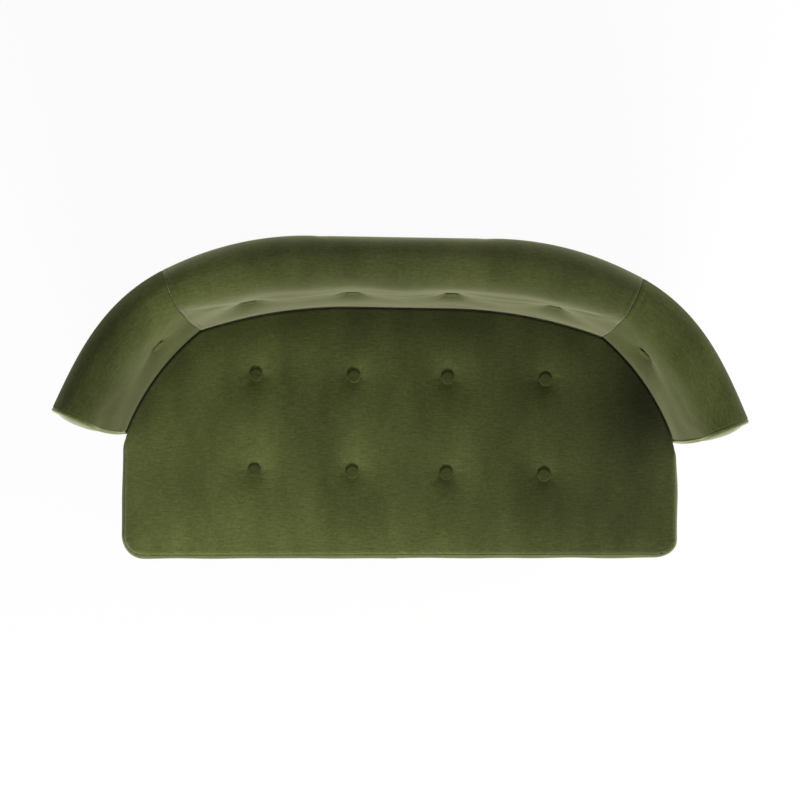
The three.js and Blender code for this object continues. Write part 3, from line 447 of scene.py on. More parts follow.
def rim_points(
    radius: float, rim: float, angles: Sequence[float], lift: float = 0.0
) -> list[tuple[float, float]]:
    """Radii and heights of a rounded rim, at angles in degrees."""
    turns = np.radians(angles)
    return [(radius - rim * (1 - math.cos(a)), rim + rim * math.sin(a) + lift) for a in turns]


def foot_of(box: tuple[Vector, Vector]) -> Vector:
    """The middle of the lowest level of a box."""
    low, high = box
    return Vector(((low.x + high.x) / 2, (low.y + high.y) / 2, low.z))


def cloth_runs(points: np.ndarray) -> np.ndarray:
    """Places on the flat cloth of a grid of points, measured over the surface."""
    across = np.linalg.norm(np.diff(points, axis=0), axis=2)
    along = np.linalg.norm(np.diff(points, axis=1), axis=2)
    x = np.vstack([np.zeros(points.shape[1]), np.cumsum(across, axis=0)])
    y = np.hstack([np.zeros((points.shape[0], 1)), np.cumsum(along, axis=1)])
    middle = points.shape[1] // 2
    return np.stack([np.broadcast_to(x[:, middle : middle + 1], y.shape), y], -1)


def normals_of(points: np.ndarray) -> np.ndarray:
    """Unit normals of a grid of points, rows crossed with columns."""
    normal = np.cross(np.gradient(points, axis=0), np.gradient(points, axis=1))
    return normal / np.maximum(np.linalg.norm(normal, axis=2, keepdims=True), 1e-12)


def distance_to(line: np.ndarray, points: np.ndarray) -> np.ndarray:
    """Distance of flat points from a line."""
    flat = points.reshape(-1, 2)
    best = np.full(len(flat), np.inf)
    for a, b in zip(line, line[1:]):
        along = b - a
        length = float(along @ along)
        if length < 1e-12:
            continue
        t = np.clip((flat - a) @ along / length, 0, 1)
        best = np.minimum(best, np.linalg.norm(flat - a - t[:, None] * along, axis=1))
    return best.reshape(points.shape[:-1])


def turned(profile: Sequence[tuple[float, float]], sides: int) -> bmesh.types.BMesh:
    """A solid turned about the upright axis from radii and heights, both ends on the axis."""
    bm = bmesh.new()
    verts = [bm.verts.new((radius, 0.0, z)) for radius, z in profile]
    edges = [bm.edges.new(pair) for pair in zip(verts, verts[1:])]
    bmesh.ops.spin(
        bm, geom=verts + edges, cent=(0, 0, 0), axis=(0, 0, 1), angle=2 * math.pi, steps=sides, use_merge=True
    )
    bmesh.ops.remove_doubles(bm, verts=bm.verts, dist=1e-6)
    bmesh.ops.recalc_face_normals(bm, faces=bm.faces)
    return bm


def piece_of(
    bm: bmesh.types.BMesh,
    name: str,
    material: bpy.types.Material,
    nap: Callable[[np.ndarray], np.ndarray] | None = None,
) -> bpy.types.Object:
    """Makes a smooth-shaded piece of the scene from a bmesh.

    Args:
        bm: The mesh, which is freed.
        name: The piece's name.
        material: Its finish.
        nap: Gives the light and shade painted into the colour at each point, for a finish that asks for it.

    Returns:
        The piece.
    """
    mesh = bpy.data.meshes.new(name)
    bm.to_mesh(mesh)
    bm.free()
    mesh.shade_smooth()
    # The painted light and shade go on the mesh as its nap attribute.
    if nap is not None:
        points = np.array([vert.co for vert in mesh.vertices])
        mesh.attributes.new("nap", "FLOAT", "POINT").data.foreach_set("value", nap(points))
    mesh.materials.append(material)
    piece = bpy.data.objects.new(name, mesh)
    bpy.context.scene.collection.objects.link(piece)
    return piece


def paced(start: float, end: float, step: float, near: Sequence[float] = ()) -> np.ndarray:
    """Even paces from start to end, closing up at both ends at the given distances."""
    near = np.asarray(near, float)
    inner = near[-1] if len(near) else 0.0
    count = max(2, round((end - start - 2 * inner) / step) + 1)
    middle = np.linspace(start + inner, end - inner, count)
    return np.unique(np.r_[start, start + near[:-1], middle, end - near[:-1][::-1], end].round(7))


def spread(
    values: np.ndarray, old: tuple[np.ndarray, np.ndarray], new: tuple[np.ndarray, np.ndarray]
) -> np.ndarray:
    """Carries values from one grid of paces to a finer one.

    Args:
        values: The values, old rows by old columns by 3.
        old: Paces of the rows and columns that the values stand on.
        new: Paces wanted.

    Returns:
        The values on the new rows and columns.
    """
    columns = [values[:, j, k] for j in range(values.shape[1]) for k in range(3)]
    rows = np.stack([np.interp(new[0], old[0], column) for column in columns])
    rows = rows.reshape(values.shape[1], 3, len(new[0]))
    both = np.stack([np.interp(new[1], old[1], rows[:, k, i]) for i in range(len(new[0])) for k in range(3)])
    return both.reshape(len(new[0]), 3, len(new[1])).transpose(0, 2, 1)


def waves(seed: int, points: np.ndarray, size: float, count: int = 14) -> np.ndarray:
    """A smooth random swell over points, from about -1 to 1.

    Args:
        seed: Which swell.
        points: Places, with their last axis the coordinates.
        size: Typical length of a swell, in metres.
        count: How many waves add up.

    Returns:
        The swell's height at each place.
    """
    rng = np.random.default_rng(seed)
    total = np.zeros(points.shape[:-1])
    for _ in range(count):
        direction = rng.normal(size=points.shape[-1])
        direction /= np.linalg.norm(direction)
        pitch = 2 * np.pi / (size * rng.uniform(0.7, 1.6))
        total += np.sin(points @ direction * pitch + rng.uniform(0, 2 * np.pi))
    return total / math.sqrt(count)


# Padding


@dataclass(frozen=True)
class Brushed:
    """Light and shade painted into a cover's colour, standing in for how light falls on it.

    A zone is its middle, how far it spreads, and how much lighter it is painted. Round each
    tuft one side is painted lighter and the other darker, a painted highlight and shade on its walls.
    """

    zones: tuple[tuple[tuple[float, float, float], tuple[float, float, float], float], ...]
    # Tufts get a painted highlight on one side and painted shade on the other: reach, overall lightening, swing
    # between the sides, and the lighter way.
    tufts: tuple[tuple[float, float], ...] = ()
    reach: float = 0.045
    lighter: float = 0.20
    swing: float = 0.46
    way: tuple[float, float] = (0.98, 0.04)

    def __call__(self, points: np.ndarray) -> np.ndarray:
        """How much lighter the painted light and shade make each point, 1 where none is painted."""
        shade = np.ones(len(points))
        for middle, spread, gain in self.zones:
            away = np.linalg.norm((points - np.array(middle)) / spread, axis=1)
            shade *= 1 + gain * smooth(-away, -2.0, 0.0)
        for tuft in self.tufts:
            away = points[:, :2] - np.array(tuft)
            distance = np.maximum(np.linalg.norm(away, axis=1), 1e-6)
            side = away @ np.array(self.way) / distance
            shade *= 1 + np.exp(-distance / self.reach) * (self.lighter + self.swing * side)
        return shade


@dataclass(frozen=True)
class Tufts:
    """The pull of covered buttons on padding, and the puckers round them."""

    flat: float = 0.0135
    reach: float = 0.027
    fade: float = 0.95
    button: float = 0.014
    pucker: float = 0.0009
    folds: tuple[int, int] = (6, 9)

    def pull(self, distance: np.ndarray) -> np.ndarray:
        """Share of the tuft's depth at a distance from its middle."""
        beyond = np.maximum(0, distance - self.flat)
        return np.exp(-np.power(beyond / self.reach, self.fade))

    def puckers(self, seed: int, across: np.ndarray, along: np.ndarray) -> np.ndarray:
        """Height of the small folds that run out from one tuft.

        Args:
            seed: Which tuft.
            across: Distance from the tuft to one side.
            along: Distance from it upwards.

        Returns:
            Height of the folds, in metres.
        """
        rng = np.random.default_rng(seed)
        distance, angle = np.hypot(across, along), np.arctan2(along, across)
        total = np.zeros_like(distance)
        for lobes in (rng.integers(*self.folds), rng.integers(*self.folds) + 4):
            phase, strength = rng.uniform(0, 2 * np.pi), rng.uniform(0.4, 0.8)
            total += strength * np.cos(lobes * angle + phase)
        ring = np.exp(-(((distance - self.button * 1.5) / 0.015) ** 2))
        return self.pucker * ring * total


TUFTS = Tufts()
SEAT_TUFTS = Tufts(reach=0.034)


@dataclass(frozen=True)
class Settling:
    """Lets a cover swell over its stuffing, held at its seams and tufts."""

    pressure: float = 4.0
    frames: int = 20
    cap: float = 0.005
    tension: float = 15.0
    bending: float = 0.4

    def settle(self, start: np.ndarray, flat: np.ndarray, held: np.ndarray) -> np.ndarray:
        """Simulates a cover as a pinned sheet of cloth.

        Args:
            start: The cover's points at first, drawn in at its tufts.
            flat: The same points before the tufts were drawn in, whose lengths the cloth keeps.
            held: How firmly each point is held, from 0 to 1.

        Returns:
            How far each point moves, no further than the cap.
        """
        bm, order = bent_grid(start)
        mesh = bpy.data.meshes.new("settling")
        bm.to_mesh(mesh)
        bm.free()
        indices = order.reshape(-1)
        cover = bpy.data.objects.new("settling", mesh)
        bpy.context.scene.collection.objects.link(cover)
        group = cover.vertex_groups.new(name="held")
        for index, weight in zip(indices, held.reshape(-1)):
            group.add([int(index)], float(weight), "REPLACE")
        cover.shape_key_add(name="drawn")
        rest = cover.shape_key_add(name="flat")
        for index, point in zip(indices, flat.reshape(-1, 3)):
            rest.data[int(index)].co = point
        cloth = cover.modifiers.new("cloth", "CLOTH")
        settings = cloth.settings
        settings.vertex_group_mass = "held"
        settings.rest_shape_key = rest
        settings.use_pressure = True
        settings.uniform_pressure_force = self.pressure
        settings.effector_weights.gravity = 0
        settings.tension_stiffness = settings.compression_stiffness = self.tension
        settings.bending_stiffness = self.bending
        settings.quality = 5
        cloth.collision_settings.use_collision = False
        cloth.point_cache.frame_start, cloth.point_cache.frame_end = 1, self.frames
        scene = bpy.context.scene
        for step in range(1, self.frames + 1):
            scene.frame_set(step)
        graph = bpy.context.evaluated_depsgraph_get()
        done = cover.evaluated_get(graph)
        settled = np.empty(len(mesh.vertices) * 3)
        done.data.vertices.foreach_get("co", settled)
        settled = settled.reshape(-1, 3)[indices].reshape(start.shape)
        bpy.data.objects.remove(cover)
        bpy.data.meshes.remove(mesh)
        scene.frame_set(1)
        moved = settled - start
        length = np.linalg.norm(moved, axis=-1, keepdims=True)
        return moved * np.minimum(1, self.cap / np.maximum(length, 1e-9))


SETTLING = Settling()
SEAM_PACES = (
    0.0003, 0.0008, 0.0015, 0.0024, 0.0036, 0.005, 0.0065, 0.0078, 0.009, 0.0102, 0.0116, 0.0135, 0.016,
)


@dataclass
class InsidePad:
    """The padding of the inside back or of an inside arm, with the seams at its ends."""

    name: str
    start: float
    end: float
    tuft_places: tuple[float, ...]
    seams: tuple[bool, bool]
    step: float = 0.0062
    lengths: tuple[float, float, float, float] = (0.326, 0.095, 0.062, 0.026)
    edge_steps: int = 8
    seam_depth: float = 0.0026
    seam_round: float = 0.0032
    fold_height: float = 0.0007
    fold_width: float = 0.0092
    ease: float = 0.55
    swell: float = 0.0008
    # Light and shade painted into the pads' colour: darker on the left arm, the right arm's inner face and the
    # back's top right, lighter on the back's top left and the right arm's roll.
    zones: tuple = (
        ((-0.62, 0.06, 0.73), (0.09, 0.12, 0.08), -0.22),
        ((-0.57, -0.06, 0.60), (0.06, 0.13, 0.13), -0.28),
        ((0.57, -0.10, 0.60), (0.06, 0.12, 0.13), -0.12),
        ((-0.40, 0.22, 0.73), (0.11, 0.08, 0.08), 0.42),
        ((0.62, 0.08, 0.73), (0.09, 0.10, 0.08), 0.12),
        ((0.42, 0.20, 0.73), (0.07, 0.06, 0.08), -0.12),
    )

    def _places(self, near: Sequence[float], step: float) -> np.ndarray:
        """Places of the pad's stations, even along the foot line."""
        ends = PLAN.distance(np.array([self.start, self.end]))
        return PLAN.place(paced(ends[0], ends[1], step, near))

    def _paces(self, step: float) -> np.ndarray:
        """Paces up the face, over the shoulder and the crown, round the edge and in to the lip."""
        face, shoulder, crown, lip = (round(length / step) for length in self.lengths)
        counts = (face, shoulder, crown, self.edge_steps, lip)
        return np.concatenate([[0.0], *(np.linspace(k, k + 1, n + 1)[1:] for k, n in enumerate(counts))])

    def _tuft_distance(self, places: np.ndarray, z: np.ndarray) -> list[tuple[np.ndarray, np.ndarray]]:
        """Distances of each point from each tuft, to the side and upwards."""
        along = PLAN.distance(places)[:, None]
        tufts = PLAN.distance(np.array(self.tuft_places))
        return [(along - tuft, z - SIZES.tuft_height) for tuft in tufts]

    def _cover(self, places: np.ndarray, paces: np.ndarray, drawn: bool) -> np.ndarray:
        """The cover's points, drawn in at the tufts or not."""
        stations = PLAN.stations(places)
        u, z = SECTION.inner(stations.reach, paces)
        if drawn:
            pulls = [TUFTS.pull(np.hypot(a, b)) for a, b in self._tuft_distance(places, z)]
            face = smooth(z, SIZES.height - 0.004, SIZES.height - 0.045) * (paces < 2)
            u = u + SIZES.tuft_depth * np.max(pulls, axis=0) * face
        return stations.at(u, z)

    def _held(self, places: np.ndarray, paces: np.ndarray, z: np.ndarray) -> np.ndarray:
        """How firmly the cover is held: at its foot, its lip, its ends and its tufts."""
        held = np.zeros((len(places), len(paces)))
        held[:, (paces < 0.42) | (paces > 4.5)] = 1
        held[[0, -1], :] = 1
        for across, up in self._tuft_distance(places, z):
            held = np.maximum(held, smooth(-np.hypot(across, up), -0.06, -0.02))
        return held

    def _seam_relief(self, places: np.ndarray) -> np.ndarray:
        """Height of the cover beside its end seams, at each station."""
        runs = PLAN.distance(places)
        relief = np.zeros(len(places))
        for seamed, gone in zip(self.seams, (runs - runs[0], runs[-1] - runs)):
            relief -= self.seam_depth * rounding(gone, self.seam_round)
            if seamed:
                relief += self.fold_height * smooth(-gone, -self.fold_width - 0.0006, -self.fold_width)
                relief -= 0.0007 * np.exp(-(((gone - self.fold_width) / 0.0009) ** 2))
        return relief

    def build(self, material: bpy.types.Material) -> bpy.types.Object:
        """Builds the pad: cover, seams, puckers and hidden inner side."""
        coarse = self._places((), self.step * 1.5), self._paces(self.step * 1.4)
        start = self._cover(*coarse, drawn=True)
        flat = self._cover(*coarse, drawn=False)
        moved = SETTLING.settle(start, flat, self._held(*coarse, start[..., 2]))

        places, paces = self._places(SEAM_PACES, self.step), self._paces(self.step)
        cover = self._cover(places, paces, drawn=True) + spread(moved, coarse, (places, paces)) * self.ease
        z = cover[..., 2]
        relief = np.zeros(z.shape)
        for index, (across, up) in enumerate(self._tuft_distance(places, z)):
            relief += TUFTS.puckers(index + 40 + round(self.start * 10), across, up)
        runs = cloth_runs(cover)
        over = 1 - smooth(paces, 2.2, 3.2)[None, :]
        relief += self.swell * waves(7, runs, 0.11) * smooth(z, 0.46, 0.52) * over
        relief += self._seam_relief(places)[:, None] * smooth(z, 0.455, 0.47) * (0.25 + 0.75 * over)
        cover = cover + normals_of(cover) * relief[..., None]

        stations = PLAN.stations(places)
        core = stations.at(*SECTION.core(stations.reach))
        bm, _ = bent_grid(ARM_LIE.moved(np.concatenate([cover, core, cover[:, :1]], axis=1)))
        close_tube(bm)
        # Gives the pad's colour its painted light and shade.
        return piece_of(bm, self.name, material, Brushed(self.zones))


@dataclass
class SeatLine:
    """The widest line round the seat, with its lines further in."""

    corner: float = 0.052
    side_stop: float = 0.047
    gap: float = 0.0006
    seam_front: float = 0.011
    seam_back: float = 0.0025

    @cached_property
    def half(self) -> PlanLine:
        """The right half, from the front's middle round to the back's middle."""
        s = SIZES
        places = np.r_[np.linspace(2, 1, 160), np.linspace(1, 0, 200)[1:]]
        back = PLAN.stations(places).at(np.full((len(places), 1), -self.gap), 0.0)[:, 0, :2]
        side_end = np.array([s.seat_half, PLAN.arm_foot[1] - self.side_stop])
        heading = back[1] - back[0]
        heading /= np.linalg.norm(heading)
        run = (back[0][1] - side_end[1]) / 2
        join = bezier([side_end, side_end + (0, run), back[0] - heading * run, back[0]], np.linspace(0, 1, 20))
        return PlanLine(np.vstack([[(0, -s.half_depth)], self.corner_arc(), join, back[1:]]))

    def corner_arc(self, inset: float = 0.0) -> np.ndarray:
        """The rounded front right corner on the plan, moved inwards."""
        centre = np.array([SIZES.seat_half - self.corner, -SIZES.half_depth + self.corner])
        turn = np.linspace(-np.pi / 2, 0, 40)
        return centre + (self.corner - inset) * np.stack([np.cos(turn), np.sin(turn)], -1)

    def ring(self, shares: np.ndarray, inset: np.ndarray | float) -> np.ndarray:
        """Points round the right half, moved inwards.

        Args:
            shares: Places along the half line.
            inset: How far in.

        Returns:
            A row of plan points.
        """
        step = 0.0006
        ahead = self.half.at(np.minimum(shares + step, 1)) - self.half.at(np.maximum(shares - step, 0))
        ahead /= np.linalg.norm(ahead, axis=-1, keepdims=True)
        inward = np.stack([-ahead[..., 1], ahead[..., 0]], -1)
        inward[(shares <= 0) | (shares >= 1), 0] = 0
        return self.half.at(shares) + inward * np.asarray(inset)[..., None]

    def shares(self, step: float) -> np.ndarray:
        """Even places along the half line."""
        return np.linspace(0, 1, round(self.half.length / step) + 1)

    def seam_inset(self, shares: np.ndarray) -> np.ndarray:
        """How far in the top panel's seam runs: little where the seat meets the back."""
        beside = smooth(self.half.at(shares)[:, 1], PLAN.arm_foot[1] - 0.06, PLAN.arm_foot[1] + 0.01)
        return self.seam_front + (self.seam_back - self.seam_front) * beside

    def distance_inside(self, points: np.ndarray) -> np.ndarray:
        """Distance of plan points from the top panel's seam, along the plan."""
        shares = self.shares(0.003)
        line = self.ring(shares, self.seam_inset(shares))
        return distance_to(np.vstack([line, (line * (-1, 1))[::-1]]), points)


SEAT_LINE = SeatLine()


@dataclass(frozen=True)
class FrontLie:
    """How the soft front of the seat has worked askew, its left end forwards."""

    slope: float = 0.0182
    shift: float = -0.0041
    start: float = 0.165
    side: float = 0.004
    corner: float = 0.005

    def moved(self, points: np.ndarray, share: np.ndarray | float = 1.0, most_back: float = 1.0) -> np.ndarray:
        """Points of the seat's cover, moved by a share of the way, and not far back."""
        x, y = points[..., 0], points[..., 1]
        moved = points.copy()
        moved[..., 0] += self.side * smooth(x, 0.4, 0.58) * smooth(-y, 0.10, 0.2) * share
        moved[..., 0] += self.corner * smooth(x, 0.53, 0.585) * smooth(-y, 0.28, 0.315) * share
        lie = np.minimum(self.shift + self.slope * x, most_back)
        moved[..., 1] += lie * smooth(-y, self.start, SIZES.half_depth) * share
        return moved


FRONT_LIE = FrontLie()


@dataclass(frozen=True)
class ArmLie:
    """How the arms' padded ends lean back towards their crest, the left one more."""

    left: float = 1.0
    right: float = 0.85
    crest_back: float = 0.0117
    start: float = 0.42
    power: float = 5.0
    fade: tuple[float, float] = (-0.07, 0.02)
    heading: tuple[float, float] = (0.383, 0.924)

    def moved(self, points: np.ndarray) -> np.ndarray:
        """Points of an arm's cover, leant back near its front end."""
        x, y, z = points[..., 0], points[..., 1], points[..., 2]
        share = np.where(x < 0, self.left, self.right) * smooth(-y, *self.fade)
        rise = np.clip((z - self.start) / (SIZES.height - self.start), 0, 1)
        back = self.crest_back * rise**self.power * share
        moved = points.copy()
        moved[..., 0] -= np.sign(x) * self.heading[0] * back
        moved[..., 1] += self.heading[1] * back
        return moved


ARM_LIE = ArmLie()


@dataclass
class SeatTop:
    """The seat's top panel: crowned, tufted, and gathered at its front corners."""

    step: float = 0.0058
    tuft_x: tuple[float, ...] = (-0.311, -0.101, 0.101, 0.311)
    tuft_y: tuple[float, ...] = (-0.150201, 0.055158)
    edge_round: tuple[float, float] = (0.0085, 0.0035)
    tuck: tuple[float, float] = (0.0045, 0.003)
    tuck_share: float = 0.2
    shelf: tuple[float, float] = (0.013, 0.032)
    # Light and shade painted into the seat's colour: lighter on the left and at the front, darker on the right and
    # at the front right, darkest in the shade beside the right arm and along the back, and a darker patch left of
    # the middle.
    zones: tuple = (
        ((-0.50, -0.06, 0.46), (0.27, 0.40, 1.0), 0.42),
        ((0.50, -0.04, 0.46), (0.28, 0.40, 1.0), -0.36),
        ((-0.10, -0.31, 0.46), (0.36, 0.06, 1.0), 0.16),
        ((0.53, 0.02, 0.46), (0.075, 0.11, 1.0), -0.70),
        ((0.05, 0.18, 0.46), (0.36, 0.07, 1.0), -0.30),
        ((-0.20, -0.05, 0.46), (0.07, 0.10, 1.0), -0.22),
        ((0.44, -0.25, 0.46), (0.16, 0.07, 1.0), -0.18),
    )
    first_pucker: int = 20
    skirt: float = 0.1195
    drawn_in: tuple[float, float] = (0.955, 0.91)
    swell: float = 0.0009
    near: tuple[float, ...] = (0.0004, 0.001, 0.0018, 0.0028, 0.004, 0.0056, 0.0076, 0.010, 0.0135, 0.018)

    @property
    def tufts(self) -> tuple[tuple[float, float], ...]:
        """Places of the tufts on the plan."""
        return tuple((x, y) for x in self.tuft_x for y in self.tuft_y)

    def _from_tufts(self, plan: np.ndarray) -> list[tuple[np.ndarray, np.ndarray]]:
        """How far each point lies from each tuft, sideways and backwards."""
        return [(plan[..., 0] - x, plan[..., 1] - y) for x, y in self.tufts]

    def _borders(self, xs: np.ndarray) -> tuple[np.ndarray, np.ndarray]:
        """Front and back of the panel on each column."""
        shares = SEAT_LINE.shares(0.0008)
        ring = SEAT_LINE.ring(shares, SEAT_LINE.seam_inset(shares))
        tip = int(np.argmax(ring[:, 0] > ring[:, 0].max() - 1e-5))
        last = len(ring) - 1 - int(np.argmax(ring[::-1, 0] > ring[:, 0].max() - 1e-5))
        front, back = ring[: tip + 1], ring[last:][::-1]
        across = np.abs(xs)
        return np.interp(across, front[:, 0], front[:, 1]), np.interp(across, back[:, 0], back[:, 1])

    def _grid(self, step: float, near: Sequence[float]) -> tuple[np.ndarray, np.ndarray, np.ndarray]:
        """Columns, shares of the depth and the plan points of a grid over the panel."""
        half = SIZES.seat_half - SEAT_LINE.seam_front
        xs = paced(-half, half, step, near)
        depth = SIZES.clear_depth - SEAT_LINE.seam_front - SEAT_LINE.seam_back
        shares = paced(0, depth, step, near) / depth
        front, back = self._borders(xs)
        ys = front[:, None] + (back - front)[:, None] * shares[None, :]
        return xs, shares, np.stack([np.broadcast_to(xs[:, None], ys.shape), ys], -1)

    def _height(self, plan: np.ndarray, edge: np.ndarray, drawn: bool) -> np.ndarray:
        """Height of the panel over the floor."""
        s = SIZES
        beside = smooth(plan[..., 1], PLAN.arm_foot[1] - 0.06, PLAN.arm_foot[1] + 0.02)
        shelf, edge_round, tuck = (a + (b - a) * beside for a, b in (self.shelf, self.edge_round, self.tuck))
        crown = s.seat_crown * (1 - np.exp(-(edge + shelf) / s.crown_run))
        rolled = (tuck + s.seat_crown * self.tuck_share) * rounding(edge, edge_round)
        z = s.seat_seam + crown - rolled
        if not drawn:
            return z
        pulls = [SEAT_TUFTS.pull(np.hypot(*away)) for away in self._from_tufts(plan)]
        return z - s.tuft_depth * np.max(pulls, axis=0)

    def _corner_folds(self, plan: np.ndarray, edge: np.ndarray) -> np.ndarray:
        """Small diagonal gathers in the panel at the seat's front corners."""
        relief = np.zeros(edge.shape)
        for side, strength in ((1, 1.0), (-1, 0.45)):
            x = side * plan[..., 0] - (SIZES.seat_half - SEAT_LINE.corner)
            y = plan[..., 1] + SIZES.half_depth - SEAT_LINE.corner
            radius, angle = np.hypot(x, y), np.degrees(np.arctan2(y, x))
            fan = smooth(angle, -92, -74) * smooth(angle, 2, -16) * smooth(radius, 0.004, 0.016)
            ridges = np.sin((angle + 160 * radius) * 0.30) + 0.35 * np.sin(angle * 0.71 + 1.3)
            relief += strength * 0.0022 * ridges * fan * np.exp(-edge / 0.016)
        return relief

    def build(self, material: bpy.types.Material) -> bpy.types.Object:
        """Builds the panel with a skirt down inside the boxing and a closed underside."""
        xs, shares, plan = self._grid(self.step * 1.45, ())
        edge = SEAT_LINE.distance_inside(plan)
        start = np.dstack([plan, self._height(plan, edge, True)])
        flat = np.dstack([plan, self._height(plan, edge, False)])
        held = np.maximum(edge < 0.010, 0).astype(float)
        for away in self._from_tufts(plan):
            held = np.maximum(held, smooth(-np.hypot(*away), -0.04, -0.017))
        moved = SETTLING.settle(start, flat, held)

        fine_xs, fine_shares, plan = self._grid(self.step, self.near)
        edge = SEAT_LINE.distance_inside(plan)
        top = np.dstack([plan, self._height(plan, edge, True)])
        top += spread(moved, (xs, shares), (fine_xs, fine_shares)) * smooth(edge, 0.0, 0.02)[..., None]
        relief = self.swell * waves(3, plan, 0.16) * smooth(edge, 0.01, 0.05)
        for index, away in enumerate(self._from_tufts(plan)):
            relief += TUFTS.puckers(self.first_pucker + index, *away)
        top[..., 2] += relief + self._corner_folds(plan, edge)

        bm, _ = bent_grid(FRONT_LIE.moved(top), plan)
        middle = (SIZES.foot_line - SIZES.half_depth) / 2
        for drop, share in ((0.012, 0.3), (self.skirt, 1.0)):
            rims = [e for e in bm.edges if e.is_boundary]
            skirt = bmesh.ops.extrude_edge_only(bm, edges=rims)["geom"]
            lowered = [v for v in skirt if isinstance(v, bmesh.types.BMVert)]
            scale = [1 - (1 - size) * share for size in self.drawn_in]
            for vert in lowered:
                x, y = vert.co.x * scale[0], middle + (vert.co.y - middle) * scale[1]
                vert.co = (x, y, SIZES.seat_seam - drop)
        bmesh.ops.holes_fill(bm, edges=[e for e in bm.edges if e.is_boundary], sides=0)
        bmesh.ops.recalc_face_normals(bm, faces=bm.faces)
        # Gives the seat's colour its painted light and shade, with a painted highlight and shade round each tuft.
        return piece_of(bm, "seat_top", material, Brushed(self.zones, self.tufts))


@dataclass
class SeatBoxing:
    """The band round the side of the seat pad, from the top panel's seam to the apron."""

    foot_inset: float = 0.008
    tuck: float = 0.005
    step: float = 0.005
    wall: float = 0.010
    swell: float = 0.0006

    def _profile(self) -> tuple[np.ndarray, np.ndarray]:
        """Insets and heights of the band's section, from its foot over its seam edge."""
        rise = np.r_[0.0, 0.008, 0.02, np.linspace(0.04, 0.9, 20), 0.93, 0.95, 0.965, 0.98, 0.99, 1.0]
        s = SIZES
        low = self.foot_inset * np.power(np.maximum(0, 1 - rise / 0.5), 2.2)
        high = SEAT_LINE.seam_front * np.power(np.maximum(0, (rise - 0.5) / 0.5), 3.4)
        inset = low + high
        z = s.pad_foot + (s.seat_seam - s.pad_foot) * rise
        inset = np.r_[inset, SEAT_LINE.seam_front + 0.0008, SEAT_LINE.seam_front + 0.0005]
        return inset, np.r_[z, s.seat_seam - 0.001, s.seat_seam - self.tuck]

    def build(self, material: bpy.types.Material) -> bpy.types.Object:
        """Builds the band as a closed loop round the seat."""
        inset, z = self._profile()
        shares = SEAT_LINE.shares(self.step)
        half = np.stack([SEAT_LINE.ring(shares, np.full(len(shares), d)) for d in inset], 1)
        rows = np.concatenate([half, (half * (-1, 1))[::-1][1:]], 0)
        band = np.dstack([rows, np.broadcast_to(z, rows.shape[:2])])
        cloth = cloth_runs(band)
        away = normals_of(band)
        s = SIZES
        fade = smooth(z, s.pad_foot, s.pad_foot + 0.02) * smooth(z, s.seat_seam - 0.004, s.seat_seam - 0.03)
        front = smooth(-rows[:, 0, 1], -0.02, 0.06)
        band = band + away * (self.swell * waves(5, cloth, 0.13) * fade * front[:, None])[..., None]
        band[-1] = band[0]
        inside = SEAT_LINE.ring(shares, np.full(len(shares), SEAT_LINE.seam_front + self.wall))
        levels = np.broadcast_to([s.seat_seam - 0.03, s.pad_foot], (len(shares), 2))
        foot = np.dstack([np.stack([inside, inside], 1), levels])
        foot = np.concatenate([foot, (foot * (-1, 1, 1))[::-1][1:]], 0)
        whole = FRONT_LIE.moved(np.concatenate([band, foot, band[:, :1]], axis=1))
        bm, _ = bent_grid(whole, np.concatenate([cloth, cloth[:, -3:]], axis=1))
        bmesh.ops.remove_doubles(bm, verts=bm.verts, dist=1e-6)
        bmesh.ops.recalc_face_normals(bm, faces=bm.faces)
        return piece_of(bm, "seat_boxing", material)


@dataclass
class ArmFacing:
    """The padded facing on an arm's end, inside its welt."""

    side: Side
    gap: float = 0.0093
    lift: float = 0.0008
    edge: float = 0.005
    edge_run: float = 0.006
    crown: float = 0.0125
    crown_run: float = 0.020
    swell: float = 0.0008
    fineness: int = 120

    def _outline(self, end: ArmEnd) -> np.ndarray:
        """The facing's outline, moved in from the arm's by the width of the welt."""
        outline = SECTION.arm_outline(float(end.reach[0]), self.fineness)
        return outline - left_of(outline) * self.gap

    def _span(self, outline: np.ndarray, z: np.ndarray) -> tuple[np.ndarray, np.ndarray]:
        """Both sides of the facing at each level."""
        top = int(np.argmax(outline[:, 1]))
        inner, outer = outline[: top + 1], outline[top:][::-1]
        return np.interp(z, inner[:, 1], inner[:, 0]), np.interp(z, outer[:, 1], outer[:, 0])

    def build(self, material: bpy.types.Material) -> bpy.types.Object:
        """Builds the facing as a closed cushion with a flat back."""
        end = PLAN.arm_end(self.side)
        outline = self._outline(end)
        low, high = outline[0, 1], outline[:, 1].max() - 1e-5
        z = low + (high - low) * (1 - np.cos(np.linspace(0, np.pi, 110))) / 2
        left, right = self._span(outline, z)
        across = (1 - np.cos(np.linspace(0, np.pi, 34))) / 2
        u = left[:, None] + (right - left)[:, None] * across
        levels = np.broadcast_to(z[:, None], u.shape)
        flat = np.stack([u, levels], -1)
        best = distance_to(np.vstack([outline, outline[:1]]), flat)
        bulge = self.edge * (1 - rounding(best, self.edge_run))
        bulge = bulge + self.crown * (1 - np.exp(-best / self.crown_run))
        bulge = bulge + self.swell * waves(11, flat, 0.09) * smooth(best, 0.004, 0.02)
        front, back = end.lay(u, levels, self.lift + bulge), end.lay(u, levels, self.lift / 2)
        bm = closed_skin(front, back, flat, ARM_LIE.moved)
        return piece_of(bm, f"arm_facing_cushion_{self.side.word}", material)


